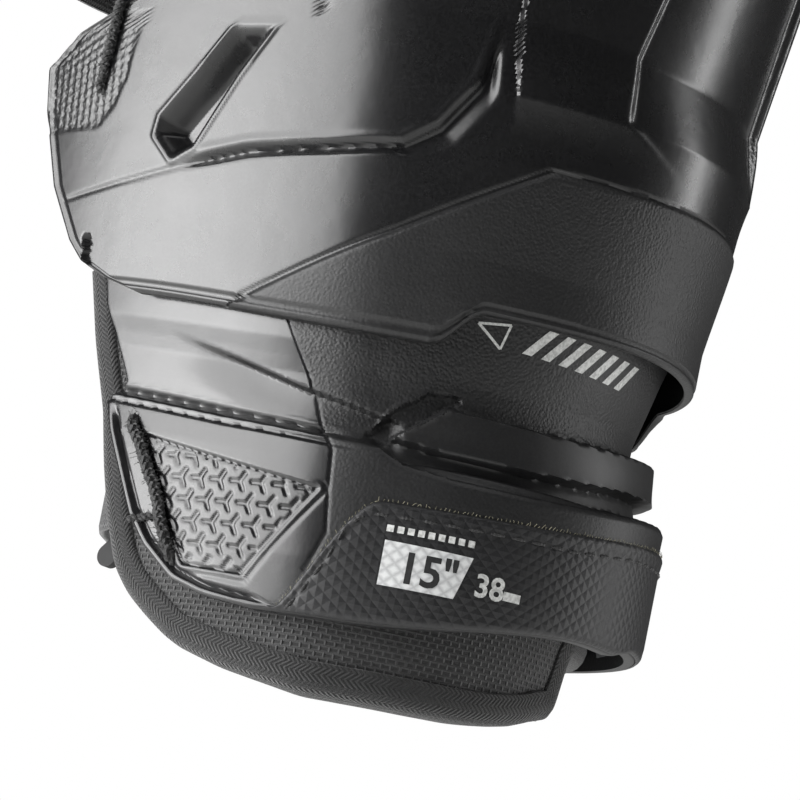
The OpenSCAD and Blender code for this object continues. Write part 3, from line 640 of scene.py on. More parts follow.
# Knitted binding tape: matt black herringbone of 1.25 mm ribs. The rib crests are painted lighter and the
# troughs darker: painted light and shade on the ribs.
tape, shader = new_material("knitted_binding_herringbone_black")
along = add(tape, "Attribute", attribute_name="along").outputs["Vector"]
split = add(tape, "SeparateXYZ", {"Vector": along})
zig = add(tape, "Math", {0: split.outputs["Y"], 1: 1.75}, operation="PINGPONG")
slope = add(tape, "Math", {0: zig, 1: 1.1, 2: split.outputs["X"]}, operation="MULTIPLY_ADD")
ribs = add(tape, "Math", {0: add(tape, "Math", {0: slope, 1: 2 * math.pi / 1.25}, operation="MULTIPLY")},
           operation="SINE")
lint = add(tape, "TexNoise", {"Vector": along, "Scale": 2.6, "Detail": 4.0, "Roughness": 0.7})
knit = add(tape, "Math", {0: ribs, 1: 0.3, 2: lint}, operation="MULTIPLY_ADD")
# Base colour from the same rib height as the bump: painted light on the crests, painted shade in the troughs.
set_inputs(tape, shader, Base_Color=ramp(tape, knit, (0.2, "#080809"), (0.9, "#19191a")), Roughness=0.88,
           Sheen_Weight=0.25, Normal=add(tape, "Bump", {"Height": knit, "Distance": 0.0005, "Strength": 0.9}))


def liner_piece(name, face, foam, rows, reach, hem, top, bend, spacing, arc_bulge=0.8):
    """A closed foam layer whose edge is rounded over, with soft puckers along its seam."""
    u = np.linspace(-1, 1, int(2 * max(r for _, r in reach) / spacing) + 1)
    s = u[None, :] * np.interp(rows, *zip(*reach))[:, None]
    z = bent_rows(rows, s, hem(s), top(s), bend)
    edge = np.minimum((1 - np.abs(u[None, :])) * 110,
                      np.minimum(rows[:, None] - rows[0], rows[-1] - rows[:, None]) + 0 * s)
    round_over = 2.2 * (1 - np.minimum(edge / 3.0, 1)) ** 2
    pucker = (arc_bulge * ease((edge - 6) / 8) * 0.6 + 0.18 * np.sin(s / 2.1 + 0.7 * np.sin(z / 3))
              * ease(1 - np.abs(edge - 9) / 4))
    return closed_sheet(name, face(s, z, pucker - round_over - 0.4), face(s, z, round_over - foam), s, z)


rows = spaced((-9.5, 0.8), (0, 1.2), (50, 2.0), (83, 1))
liner = liner_piece("lower_liner_mesh", lower_liner_face, lower_foam, rows, lower_liner_reach,
                          liner_hem, lambda s: 83 - 3 * ease((60 - np.abs(s)) / 60),
                          (45, 20), 1.3)
liner.data.materials.append(mesh_cloth)
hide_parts("lower_liner")
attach(liner, "lower_shin")


def binding_tape(name, border, face, foam, width=7.2, build=0.9, arch=0.35):
    """Tape folded round a liner's border: the border is a drawn line with the liner on its left."""
    path = walk(border, 1.1)
    for _ in range(6):
        path[1:-1] = (path[:-2] + 2 * path[1:-1] + path[2:]) / 4
    head = np.gradient(path, axis=0)
    head /= np.linalg.norm(head, axis=1, keepdims=True)
    inward = np.stack([-head[:, 1], head[:, 0]], -1)
    section = [(width, -0.1), (width - 0.3, build * 0.7), (width - 1.4, build), (width * 0.5, build + arch),
               (1.6, build * 0.8),
               (0.3, -0.2), (-0.35, -foam * 0.3), (-0.35, -foam * 0.7), (0.3, 0.2 - foam),
               (1.6, -foam - build * 0.5),
               (width - 1.4, -foam - build * 0.6), (width, 0.1 - foam)]
    d = np.concatenate([[0], np.cumsum(np.linalg.norm(np.diff(path, axis=0), axis=1))])
    cross = (np.concatenate([[0], np.cumsum([math.hypot(b[0] - a[0], b[1] - a[1])
                                             for a, b in zip(section, section[1:])])]))
    rows = [face(path[:, 0] + inward[:, 0] * step, path[:, 1] + inward[:, 1] * step, lift)
            for step, lift in section]
    rows += [face(path[:, 0] + inward[:, 0] * step, path[:, 1] + inward[:, 1] * step, lift)
             for step, lift in ((width, 0.6 - foam), (0.9, 0.6 - foam), (0.6, -0.8), (width, -0.6))]
    grid = np.stack(rows, 0)
    nr, nc = grid.shape[:2]
    k = np.arange(nr * nc).reshape(nr, nc)
    k = np.concatenate([k, k[:1]], 0)
    faces = np.stack([k[:-1, :-1], k[:-1, 1:], k[1:, 1:], k[1:, :-1]], -1).reshape(-1, 4).tolist()
    faces += [list(k[:-1, 0]), list(k[-2::-1, -1])]
    across = np.concatenate([cross, [cross[-1] + 1] * 4])
    marks = np.stack(np.broadcast_arrays(d[None, :], across[:, None], 0), -1).reshape(-1, 3)
    piece = mesh_from(name, grid, faces, along=marks)
    piece.data.materials.append(tape)
    return piece


reach = [(r, h) for h, r in lower_liner_reach if h < 83] + [(142.2, 83)]
border = [(-a, b + 22.7 * max(0, 1 - (b + 9.5) / 45)) for a, b in reach[::-1]]
border += [(a, float(liner_hem(a))) for a in (-56, -40, -24, -14, -10, -8, -6, -4, -2)] + hem_edge + reach
hem_tape = binding_tape("lower_liner_tape", border, lower_liner_face, lower_foam)
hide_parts("lower_liner_binding")
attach(hem_tape, "lower_shin")

# Upper shin shell: one tall polypropylene moulding from the ankle to below the knee. Polished sides and
# back flares, a grained front field under a chevron crease, and sunk vents and sweeps on its sides.
upper_form = np.array([(66, 62.5, 64.5, 129), (80, 64, 66.4, 130), (90, 65, 66.4, 130.5),
                       (112, 67.2, 69.4, 132),
                       (127, 68.7, 70.9, 133.2), (143, 70.2, 67.4, 134.2), (155, 71.2, 69.6, 134.6),
                       (200, 75, 78, 136),
                       (300, 78, 89, 136), (352, 79.5, 92, 136)])
upper_reach = [(66, 148), (70, 160), (75, 168), (82, 173), (100, 181), (118, 187), (128, 188), (136, 178),
               (144, 158),
               (152, 152), (270, 152), (300, 147), (352, 136)]
chevron = [(118.5, 74.5), (81, 93), (49, 112.2), (32.5, 112.8), (10, 114), (0, 114)]
pocket = [(129, 136), (138, 125), (147, 115.5), (148, 111), (142.5, 105.5), (136.5, 108.5), (126, 125),
          (118, 136)]
sweep_low = [(144, 105.4), (130, 107.8), (121, 109.5), (100.5, 111), (83, 113), (76, 118), (68.5, 129),
             (64, 142)]
dimple_patch = [(186, 112), (166.5, 113), (162, 117.5), (158.5, 125), (156, 140), (186, 140)]
side_crease = [(176.5, 96), (140, 104), (112, 108.6), (84, 112.5)]
tab_facet = [(69.5, 69.5), (66.5, 74.5), (62.2, 78.2), (60, 78.6), (62.5, 74), (67.5, 69.2)]
vents = [[(58, 168), (92, 182), (90, 196), (62, 188)], [(58, 206), (92, 220), (90, 234), (62, 226)],
         [(58, 244), (92, 258), (90, 272), (62, 264)]]
spine_line = [(0, 112), (33, 128), (27, 170), (25, 230), (34, 280), (44, 300)]


def upper_hem(s):
    side = np.abs(s)
    return np.where(side < 57, 80 - 1.5 * ease(side / 57),
                    np.where(side < 70, 78.5 - 8.5 * ease((side - 57) / 12), 70 + 6 * ease((side - 80) / 90)))


def upper_top(s):
    return 305 + 45 * ease((np.abs(s) - 62) / 40)


def upper_relief(s, z):
    side = np.abs(s)
    near, hand = from_line(side, z, chevron)
    below = ease(0.5 + near * hand / 1.4) * (z < 116)
    off = 0.75 * below * ease(1 - near / 26) + 0.5 * groove(near - 0.2, 1.8)
    # Hollow pocket and the sweep that runs out of it.
    deep = in_field(side, z, pocket)
    off = off - 5.5 * ease(deep / 4.5) + 0.35 * ease(1 - np.abs(deep + 0.5) / 0.9)
    near, hand = from_line(side, z, sweep_low)
    over = -near * hand
    reach = ease((140 - side) / 10) * ease((side - 63) / 3)
    width = 3.4 + 3.6 * ease((86 - side) / 12)
    off = off - 1.9 * reach * ease(-over / 1.8) * ease((width + over) / (0.75 * width)) * (z > 100)
    off = off + 0.25 * reach * ease(1 - np.abs(over - 0.9) / 1.4)
    off = (off + 0.3 * groove(from_line(side, z, side_crease)[0], 1.8) * ease((178 - side) / 8)
           * ease((side - 84) / 8))
    # Dimpled patch, the oval hole of the shell tie and the small facet on the lower edge.
    patch = in_field(side, z, dimple_patch)
    cell_s, cell_z = (side % 2.2) - 1.1, ((z + 1.1 * (np.floor(side / 2.2) % 2)) % 2.2) - 1.1
    off = off - ease(patch / 0.8) * (0.25 + 0.35 * ease(1 - np.hypot(cell_s, cell_z) / 0.95))
    slot = np.hypot(side - 165.5, np.maximum(np.abs(z - 85) - 2.3, 0))
    off = off - 2.0 * ease((1.35 - slot) / 0.5)
    facet = in_field(side, z, tab_facet)
    off = off - 0.5 * ease(facet / 1.2) + 0.25 * ease(1 - np.abs(facet + 0.3) / 0.5)
    # Higher up: a raised spine down the front and three sunk vents on each side.
    near, hand = from_line(side, z, spine_line)
    spine = ease(0.5 - near * hand / 2.4) * ease((z - 112) / 6) * ease((306 - z) / 14)
    off = off + 2.4 * spine * ease((z - 118) / 24) * (side < 60)
    for vent in vents:
        inside = in_field(side, z, vent)
        off = off - 2.3 * ease(inside / 2.8) + 0.4 * ease(1 - np.abs(inside + 1.2) / 2.0)
    off = off + 0.8 * groove(from_line(side, z, [(106, 140), (110, 200), (108, 270), (96, 318)])[0], 2.6)
    off = off - 1.0 * ease(1 - np.abs(side) / 30) * ease(1 - np.abs(z - 292) / 9)
    polished = 0.9 * (1 - below)
    grained = below * (0.4 + 0.6 * ease(1 - near / 60)) + ease(patch / 0.5) * 0.5
    return off, np.clip(polished, 0, 1), np.clip(grained, 0, 1)


def upper_face(s, z, lift=0.0):
    return on_form(upper_form, angle_at(upper_form, 110, s), z, upper_relief(s, z)[0] + lift)


def moulded_shell(name, form, arc_z, rows, half, reach, low, high, bend, relief, wall=2.5, lip=1.5):
    """A moulded shell: relief on the outer face, a rolled lip and a smooth inner face."""
    u = np.concatenate([-half[:0:-1], half]) / half[-1]
    s = u[None, :] * np.interp(rows, *zip(*reach))[:, None]
    z = bent_rows(rows, s, low(s), high(s), bend)
    off, polished, grained = relief(s, z)
    edge = np.minimum(np.minimum((1 - np.abs(u[None, :])) * half[-1] * 0.9, rows[:, None] - rows[0]),
                      rows[-1] - rows[:, None]) + 0 * s
    rounded = 1.1 * (1 - np.sqrt(np.clip(1 - (1 - edge / 1.1).clip(0) ** 2, 0, 1)))
    bead = 0.3 * ease(1 - np.abs(edge - lip) / 1.0) + 0.55 * groove(edge - lip - 1.9, 1.5)
    phi = angle_at(form, arc_z, s)
    inner = on_form(form, phi, z, np.minimum(-wall, off - 1.2) + 0.3 * (edge < 0.6))
    return closed_sheet(name, on_form(form, phi, z, off + bead - rounded), inner, s, z,
                        polished=polished, grained=grained)


rows = spaced((66, 0.3), (68.5, 0.55), (132, 1.0), (284, 1.8), (349, 0.5), (352, 1))
half = spaced((0, 0.9), (56, 0.55), (190, 0.3), (192, 1))
upper_shell = moulded_shell("upper_shell_skin", upper_form, 110, rows, half, upper_reach, upper_hem,
                            upper_top,
                                  (34, 110), upper_relief)
upper_shell.data.materials.append(moulded)
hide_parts("upper_shin_shell")
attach(upper_shell, "shin")

# Upper lacing: the same heavy cord ties the shell's rear tab to the liner, in one long diagonal run.
runs = []
for side in (1, -1):
    t = np.linspace(0, 1, 40)
    lift = 0.6 + 0.5 * np.sin(np.pi * t) - 2.6 * (1 - ease(t / 0.06)) - 2.6 * (1 - ease((1 - t) / 0.06))
    cord, spine = twisted_cord(upper_face(side * (167 - 7 * t), 121 + 32 * t, lift), 0.72, 0.66, 5.0)
    runs += cord + fuzz(spine, 1.6, 120, dice)
lacing = tubes("upper_shell_cord", runs)
lacing.data.materials.append(waxed)
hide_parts("upper_shell_lacing")
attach(lacing, "shin")

# Rivets and studs: nickel-plated steel, turned and set cold. They keep their own solids.
# Plated steel: a warm grey metal with fine turning rings and a few bright nicks.
plated, shader = new_material("nickel_plated_steel_turned")
spot = add(plated, "TexCoord").outputs["Object"]
rings = add(plated, "TexNoise",
            {"Vector": add(plated, "Mapping", {"Vector": spot, "Scale": (40, 900, 900)}), "Scale": 1.0,
             "Detail": 2.0})
nicks = add(plated, "TexNoise", {"Vector": spot, "Scale": 500.0, "Detail": 5.0})
set_inputs(plated, shader, Metallic=1.0, Base_Color=ramp(plated, nicks, (0.35, "#6f6d69"), (0.7, "#a3a19c")),
           Roughness=add(plated, "MapRange", {"Value": nicks, "To Min": 0.22, "To Max": 0.42}),
           Normal=add(plated, "Bump", {"Height": rings, "Distance": 0.0001, "Strength": 0.3}))
for name in ("wing_rivets", "lower_pivot_studs", "knee_pivot_rivets", "thigh_pivot_rivets"):
    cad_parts[name].data.materials.clear()
    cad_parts[name].data.materials.append(plated)

# Closed-cell foam blocks glued behind the shells: grey-black EVA with an open cut skin. The cut cells are
# painted darker at their sunk centres: painted shade in the pits.
eva, shader = new_material("eva_foam_cut_black")
spot = add(eva, "TexCoord").outputs["Object"]
bubbles_and_pit_shade = add(eva, "TexVoronoi", {"Vector": spot, "Scale": 900.0})
# Base colour darker where the bump sinks the cells: painted shade in the pits.
set_inputs(eva, shader, Base_Color=ramp(eva, bubbles_and_pit_shade, (0.1, "#1d1e1f"), (0.8, "#333436")), Roughness=0.92,
           Normal=add(eva, "Bump", {"Height": bubbles_and_pit_shade, "Distance": 0.0003, "Strength": 0.5}))


def foam_block(name, node, body, form, arc_z, rows, reach, off, thick):
    """A foam layer with crowned faces and eased edges."""
    rows = np.linspace(rows[0], rows[1], 40)
    u = np.linspace(-1, 1, 90)
    s = u[None, :] * np.interp(rows, *zip(*reach))[:, None]
    z = rows[:, None] + 0 * s
    edge = np.minimum((1 - np.abs(u)) * 80, np.minimum(rows - rows[0], rows[-1] - rows)[:, None])
    ease_in = 1.4 * (1 - np.minimum(edge / 3, 1)) ** 2
    phi = angle_at(form, arc_z, s)
    block = closed_sheet(name, on_form(form, phi, z, off - 0.1 - ease_in),
                         on_form(form, phi, z, off - thick + 0.1 + ease_in), s, z)
    block.data.materials.append(eva)
    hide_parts(node)
    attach(block, body)
    return block


foam_block("upper_foam_block", "upper_shell_foam", "shin", upper_form, 110, (120, 296),
           [(120, 118), (296, 112)], -3.5, 3.2)
foam_block("lower_foam_block", "lower_shell_foam", "lower_shin", cup_form, cup_arc, (18, 38),
           [(18, 46), (38, 46)], -3.7, 3.0)

# Shin liner: a long mesh-faced foam that wraps the shin and calf sides, bound in the same tape.
shin_foam = 9.5
shin_leg = leg_form + np.array([0, shin_foam, shin_foam, shin_foam])
shin_reach = [(94, 144), (110, 157), (122, 163), (136, 129.5), (280, 126), (308, 116)]


def shin_liner_face(s, z, lift=0.0):
    return on_form(shin_leg, angle_at(leg_form, 150, s), z, lift)


rows = spaced((94, 1.4), (140, 3.0), (308, 1))
shin_liner = liner_piece("shin_liner_mesh", shin_liner_face, shin_foam, rows, shin_reach,
                               lambda s: 94 + 0 * s, lambda s: 308 + 0 * s, (20, 20), 2.2, arc_bulge=0.4)
shin_liner.data.materials.append(mesh_cloth)
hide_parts("shin_liner")
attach(shin_liner, "shin")
reach = [(r, h) for h, r in shin_reach]
border = [(-a, b) for a, b in reach[::-1]] + reach
shin_tape = binding_tape("shin_liner_tape", border, shin_liner_face, shin_foam, width=8.0, build=0.5,
                         arch=0.2)
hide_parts("shin_liner_binding")
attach(shin_tape, "shin")

# Calf wing and inner wrap: thin moulded plates behind the calf, faced inside with mesh pads. The outer
# wing is riveted in the shell's rear edge and the inner wrap swings on its edge. The wrap's plate, with
# its strap rods, and its binding keep their own solids.
wing_axis_y, wing_radius, wing_flare = 46, 64.8, 0.04


def wing_face(a, z, lift, flip=1):
    """Points on the round of the calf, at angles from the back towards -X, or +X if flipped."""
    r = wing_radius + wing_flare * (z - 150) + lift
    p = np.radians(a)
    return np.stack([-flip * r * np.sin(p), wing_axis_y + r * np.cos(p), z + 0 * p], -1)


def wing_grid(a0, a1, z0, z1, count):
    """Angles and heights over a wing whose rear corners drop away."""
    a = np.linspace(a1, a0, count)[None, :] + np.zeros((60, 1))
    drop = 10 * ease((45 - a) / 30)
    t = np.linspace(0, 1, 60)[:, None]
    return a, z0 + drop + t * (z1 - z0 - 2 * drop), t


def wing_piece(name, node, body, a0, a1, z0, z1, off, thick, flip, material, soft):
    a, z, t = wing_grid(a0, a1, z0, z1, 110)
    s, run = np.radians(a) * 66, (a - a.min()) / (a.max() - a.min())
    edge = np.minimum(np.minimum(t, 1 - t) * (z1 - z0), np.minimum(run, 1 - run) * np.radians(a1 - a0) * 66)
    if soft:
        rim = 2.4 * (1 - np.minimum(edge / 4, 1)) ** 2
        channels = sum(0.9 * groove(np.abs(z - c), 5) for c in (186, 215, 244)) * ease((edge - 8) / 5)
        outer, inner = wing_face(a, z, off - 0.2 - rim, flip), wing_face(a, z, off - thick + 0.9 + rim
                                                                         - channels - 0.7 * ease(edge / 14),
                                                                         flip)
        fields = {}
    else:
        ribs = sum(0.55 * ease(1 - np.abs(z - c) / 1.6) for c in (200, 207, 221, 228)) * ease((edge - 7) / 3)
        inlay = -0.35 * ease((edge - 4) / 1.2)
        outer = wing_face(a, z, off + inlay + ribs - 0.7 * (1 - np.minimum(edge / 1.0, 1)) ** 2, flip)
        inner = wing_face(a, z, off - thick, flip)
        fields = dict(polished=1 - ease((edge - 4) / 0.6) + 0 * s, grained=ease((edge - 4) / 0.6) + 0 * s)
    if flip < 0:
        outer, inner, s, z = outer[:, ::-1], inner[:, ::-1], s[:, ::-1], z[:, ::-1]
        fields = {k: v[:, ::-1] for k, v in fields.items()}
    piece = closed_sheet(name, outer, inner, s, z, **fields)
    piece.data.materials.append(material)
    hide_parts(node)
    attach(piece, body)
    return piece


wing_piece("outer_wing_plate", "lateral_calf_wing", "shin", 20, 100, 164, 268, -0.2, 2.0, 1, moulded, False)
wing_piece("outer_wing_pad", "lateral_calf_pad", "shin", 16, 82, 158, 272, -2.7, 6.3, 1, mesh_cloth, True)
wing_piece("inner_wrap_pad", "medial_wrap_pad", "medial_wrap", 24, 80, 158, 272, -2.7, 6.3, -1, mesh_cloth,
           True)
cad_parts["medial_wrap_plate"].data.materials.clear()
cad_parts["medial_wrap_plate"].data.materials.append(moulded)
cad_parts["medial_wrap_binding"].data.materials.clear()
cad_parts["medial_wrap_binding"].data.materials.append(tape)

# Straps: woven elastic webbing, each with a stiff tab of moulded hook tape sewn to its free end. The ankle
# and thigh straps are sewn to anchors, and the calf straps are looped round rods on the inner wrap.
# Elastic webbing: black with fine ribs 1.4 mm apart along its length and a slight sheen. The rib crests are
# painted lighter and the troughs darker: painted light and shade on the ribs.
elastic, shader = new_material("elastic_webbing_woven_black")
along = add(elastic, "Attribute", attribute_name="along").outputs["Vector"]
split = add(elastic, "SeparateXYZ", {"Vector": along})
ribs = (add(elastic, "Math", {0: add(elastic, "Math", {0: split.outputs["Y"], 1: 2 * math.pi / 1.4},
                                     operation="MULTIPLY")}, operation="SINE"))
picks = (add(elastic, "Math", {0: add(elastic, "Math", {0: split.outputs["X"], 1: 2 * math.pi / 0.9},
                                      operation="MULTIPLY")}, operation="SINE"))
cloth = (add(elastic, "Math", {0: ribs,
                               1: add(elastic, "Math", {0: picks, 1: 0.4, 2: 0.7},
                                      operation="MULTIPLY_ADD")}, operation="MULTIPLY"))
lint = add(elastic, "TexNoise", {"Vector": along, "Scale": 1.8, "Detail": 4.0})
# Base colour from the same rib height as the bump: painted light on the crests, painted shade in the troughs.
set_inputs(elastic, shader, Roughness=0.75, Sheen_Weight=0.3,
           Base_Color=ramp(elastic, add(elastic, "Math", {0: cloth, 1: 0.2, 2: lint},
                                        operation="MULTIPLY_ADD"), (0.3, "#111112"), (0.75, "#2c2c2e")),
           Normal=add(elastic, "Bump", {"Height": cloth, "Distance": 0.0004, "Strength": 0.7}))
# Moulded hook tape: glossy black nylon stubble. The hook heads are painted lighter and the gaps between them
# near black: painted light on the heads, painted shade in the gaps.
hook, shader = new_material("nylon_hook_tape_black")
spot = add(hook, "Attribute", attribute_name="along").outputs["Vector"]
stub = add(hook, "TexVoronoi", {"Vector": spot, "Scale": 0.9, "Randomness": 0.35})
# Base colour lighter on the raised hook heads and near black in the sunk gaps: painted light and shade.
set_inputs(hook, shader, Base_Color=ramp(hook, stub, (0.1, "#1a1a1b"), (0.7, "#050505")), Roughness=0.4,
           Normal=add(hook, "Bump", {"Height": add(hook, "Math", {0: stub, 1: -1.0}, operation="MULTIPLY"),
                                     "Distance": 0.0007, "Strength": 0.8}))


def strap(name, nodes, body, route, z0, width, thick, material, first=0.0, slot="elastic"):
    """Webbing along a route seen from above: thick with rolled selvedges and sewn end bars."""
    path = walk(route, 1.2)
    path = np.concatenate([path, [route[-1]]])
    head = np.gradient(path, axis=0)
    head /= np.linalg.norm(head, axis=1, keepdims=True)
    out = np.stack([-head[:, 1], head[:, 0]], -1)
    if np.sum(out * (path - [0, wing_axis_y])) < 0:
        out = -out
    across = np.concatenate([[-0.5, -0.485, -0.45], np.linspace(-0.4, 0.4, 16), [0.45, 0.485, 0.5]])
    d = np.concatenate([[0], np.cumsum(np.linalg.norm(np.diff(path, axis=0), axis=1))])
    slim = 1 - 0.55 * (np.abs(across) > 0.49) - 0.2 * (np.abs(np.abs(across) - 0.485) < 0.01)
    bars = np.minimum(np.abs(d - 5), np.abs(d[-1] - d - 5))
    press = 0.35 * ease(1 - bars / 1.2)

    def face(lift):
        p = path[None, :, :] + out[None, :, :] * lift[..., None]
        return np.concatenate([p, (z0 + across[:, None] * width + 0 * d[None, :])[..., None]], -1)
    mid, half = first + thick / 2, thick / 2 * slim[:, None] - press[None, :]
    outer, inner = face(mid + half), face(mid - half)
    s, z = d[None, :] + 0 * across[:, None], across[:, None] * width + 0 * d[None, :]
    outward = np.cross(outer[1, 1] - outer[0, 1], outer[0, 2] - outer[0, 1])[:2] @ out[1]
    if outward < 0:
        outer, inner, s, z = outer[:, ::-1], inner[:, ::-1], s[:, ::-1], z[:, ::-1]
    piece = closed_sheet(name, outer, inner, s, z)
    piece.data.materials.append(material)
    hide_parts(*nodes)
    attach(piece, body)
    return piece


ankle_route = [(-33.6, 49.2), (-31, 53), (-27, 57), (-20, 61.2), (-11, 65), (0, 68.4), (12, 71.2),
               (24, 72.2), (33, 70),
               (40, 65), (44.8, 59.4), (47.4, 54.4)]
strap("ankle_strap_web", ["ankle_strap"], "ankle_strap", ankle_route, 37, 24, 2, elastic)
strap("ankle_strap_hook", ["ankle_strap_tab"], "ankle_strap", [(47.6, 53.9), (48.6, 51.3), (49.1, 48.8)], 37,
      19, 2, hook, slot="rubber")
for name, height in (("lower_calf_strap", 182), ("upper_calf_strap", 238)):
    # Both rods of the inner wrap stand 3.4 mm outside the plates, measured at the strap's upper edge.
    arc, end = (wing_face(np.linspace(*span), height + 19, 3.4)[:, :2]
                for span in ((61, -63.5, 90), (73.6, 61.6, 12)))
    strap(name + "_web", [], name, arc, height, 38, 2, elastic, first=-1.0)
    strap(name + "_hook", [name + "_tab"], name, end, height, 32, 2, hook, first=-1.0, slot="rubber")
    centre = wing_face(np.array(-66.0), height + 19, 3.4)[:2]
    a = np.linspace(0, 2 * np.pi, 33)
    ring = [np.stack([centre[0] + q * np.cos(a), centre[1] + q * np.sin(a)], -1) for q in (2.8, 1.42)]
    zz = np.linspace(-19, 19, 12)
    tube = ([np.stack([np.tile(c[:, 0], (12, 1)), np.tile(c[:, 1], (12, 1)),
                       np.tile(height + zz[:, None], (1, 33))], -1) for c in ring])
    eye = closed_sheet(name + "_loop", tube[0], tube[1], np.tile(a * 2.8, (12, 1)),
                       np.tile(zz[:, None], (1, 33)))
    eye.data.materials.append(elastic)
    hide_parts(name)
    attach(eye, name)

# Ankle strap's anchor: moulded rubber, whose corner shows as a small nub behind the liner. It
# keeps its own solid.
# Moulded rubber: satin near-black with a dusty bloom.
rubber, shader = new_material("rubber_moulded_satin_black")
spot = add(rubber, "TexCoord").outputs["Object"]
bloom = add(rubber, "TexNoise", {"Vector": spot, "Scale": 180.0, "Detail": 5.0})
set_inputs(rubber, shader, Base_Color=ramp(rubber, bloom, (0.3, "#0c0c0d"), (0.75, "#1a1a1b")),
           Roughness=0.7, IOR=1.45,
           Normal=add(rubber, "Bump", {"Height": bloom, "Distance": 0.0002, "Strength": 0.3}))
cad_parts["ankle_strap_anchor"].data.materials.clear()
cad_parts["ankle_strap_anchor"].data.materials.append(rubber)

# Knee cap: a deep dished polypropylene moulding over the kneecap, with a raised boss and side creases. It
# turns on the two rivets at the top of the shin shell.
knee_form = np.array([(262, 82, 98, 138), (300, 84, 103, 138), (340, 86, 111, 136), (390, 86, 114, 134),
                      (430, 82, 107, 130), (448, 78, 99, 126), (458, 74, 92, 122)])
knee_reach = [(262, 96), (275, 112), (300, 134), (320, 150), (345, 158), (380, 160), (425, 160), (440, 152),
              (450, 130), (458, 100)]
boss = [(-46, 352), (-38, 338), (38, 338), (46, 352), (50, 398), (36, 430), (-36, 430), (-50, 398)]


def knee_relief(s, z):
    side = np.abs(s)
    inside = in_field(s, z, boss)
    off = 1.5 * ease(0.5 + inside / 3) - 1.1 * ease((inside - 6) / 2.5) + 0.6 * ease((inside - 14) / 8)
    near, hand = from_line(side, z, [(40, 268), (58, 312), (66, 352), (70, 400), (58, 446)])
    off = off + 1.3 * groove(near, 4.5) + 0.6 * ease(1 - np.abs(near - 3.6) / 2)
    for line in ([(82, 318), (118, 342), (150, 350)], [(84, 412), (120, 404), (152, 398)]):
        off = off + 0.9 * groove(from_line(side, z, line)[0], 3.4)
    for line in ([(-30, 300), (0, 292), (30, 300)], [(-34, 314), (0, 306), (34, 314)]):
        off = off + 1.0 * groove(from_line(s, z, line)[0], 3.6)
    panel = ease(0.5 + near * hand / 1.5)
    return off, 0.25 + 0.75 * (1 - panel), 0.8 * panel * (1 - ease(inside / 2))


rows = spaced((262, 0.4), (266, 1.0), (340, 1.4), (440, 0.8), (456, 0.4), (458, 1))
half = spaced((0, 1.1), (170, 0.4), (172, 1))
knee = moulded_shell("knee_cap_skin", knee_form, 380, rows, half, knee_reach,
                           lambda s: 262 + 40 * ease((np.abs(s) - 50) / 70), lambda s: 458 - 12
                     * ease(np.abs(s) / 100),
                           (90, 60), knee_relief)
knee.data.materials.append(moulded)
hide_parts("knee_cap")
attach(knee, "knee")
foam_block("knee_foam_block", "knee_cap_foam", "knee", knee_form, 380, (325, 408), [(325, 88), (408, 88)],
           -2.9, 6)

# Knee pad: a quilted foam cushion faced in spacer mesh, behind the cap. Two rows and two columns of
# stitching pull it into panels.


def quilted_pad(name, node, body, form, arc_z, rows, reach, low, high, off, thick, seams, bend=(20, 20)):
    rows = np.linspace(rows[0], rows[1], 70)
    u = np.linspace(-1, 1, 170)
    s = u[None, :] * np.interp(rows, *zip(*reach))[:, None]
    z = bent_rows(rows, s, low(s), high(s), bend)
    edge = np.minimum((1 - np.abs(u[None, :])) * 95,
                      np.minimum(rows[:, None] - rows[0], rows[-1] - rows[:, None]) + 0 * s)
    rim = (thick * 0.36) * (1 - np.minimum(edge / 7, 1)) ** 2
    sewn = np.zeros_like(s)
    for line in seams:
        near = from_line(s, z, line)[0]
        sewn += 2.4 * ease(1 - near / 4.5) + 0.5 * ease(1 - near / 0.9)
    sewn *= ease(edge / 4)
    phi = angle_at(form, arc_z, s)
    crown = 0.12 * thick * ease(edge / 16)
    piece = closed_sheet(name, on_form(form, phi, z, off - 0.3 - rim),
                         on_form(form, phi, z, off - thick * 0.86 - crown + rim + sewn), s, z)
    piece.data.materials.append(mesh_cloth)
    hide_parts(node)
    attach(piece, body)
    return piece


quilted_pad("knee_cushion", "knee_pad", "knee", knee_form, 380, (326, 408),
            [(326, 104), (365, 112), (408, 104)],
            lambda s: 325 + 0 * s, lambda s: 408 + 0 * s, -9.7, 12,
            [[(-110, 352), (110, 352)], [(-110, 380), (110, 380)], [(-52, 326), (-52, 408)],
             [(52, 326), (52, 408)]])

# Thigh guard: a short moulded plate on the knee cap's upper rivets, with its own quilted pad, a bound
# top edge and a strap.
thigh_form = np.array([(420, 73, 89, 124), (455, 70, 86, 122), (480, 70, 86, 122), (515, 71, 87, 122)])
thigh_reach = [(420, 124), (430, 128), (445, 128), (480, 118), (500, 104), (510, 86), (515, 66)]


def thigh_relief(s, z):
    side = np.abs(s)
    off = sum(0.9 * groove(from_line(s, z, line)[0], 3.4)
              for line in ([(-60, 470), (0, 462), (60, 470)], [(-52, 488), (0, 480), (52, 488)]))
    near, hand = from_line(side, z, [(66, 424), (72, 462), (60, 512)])
    off = off + 0.8 * groove(near, 3.4)
    panel = ease(0.5 + near * hand / 1.5)
    return off, 0.3 + 0.7 * (1 - panel), 0.7 * panel


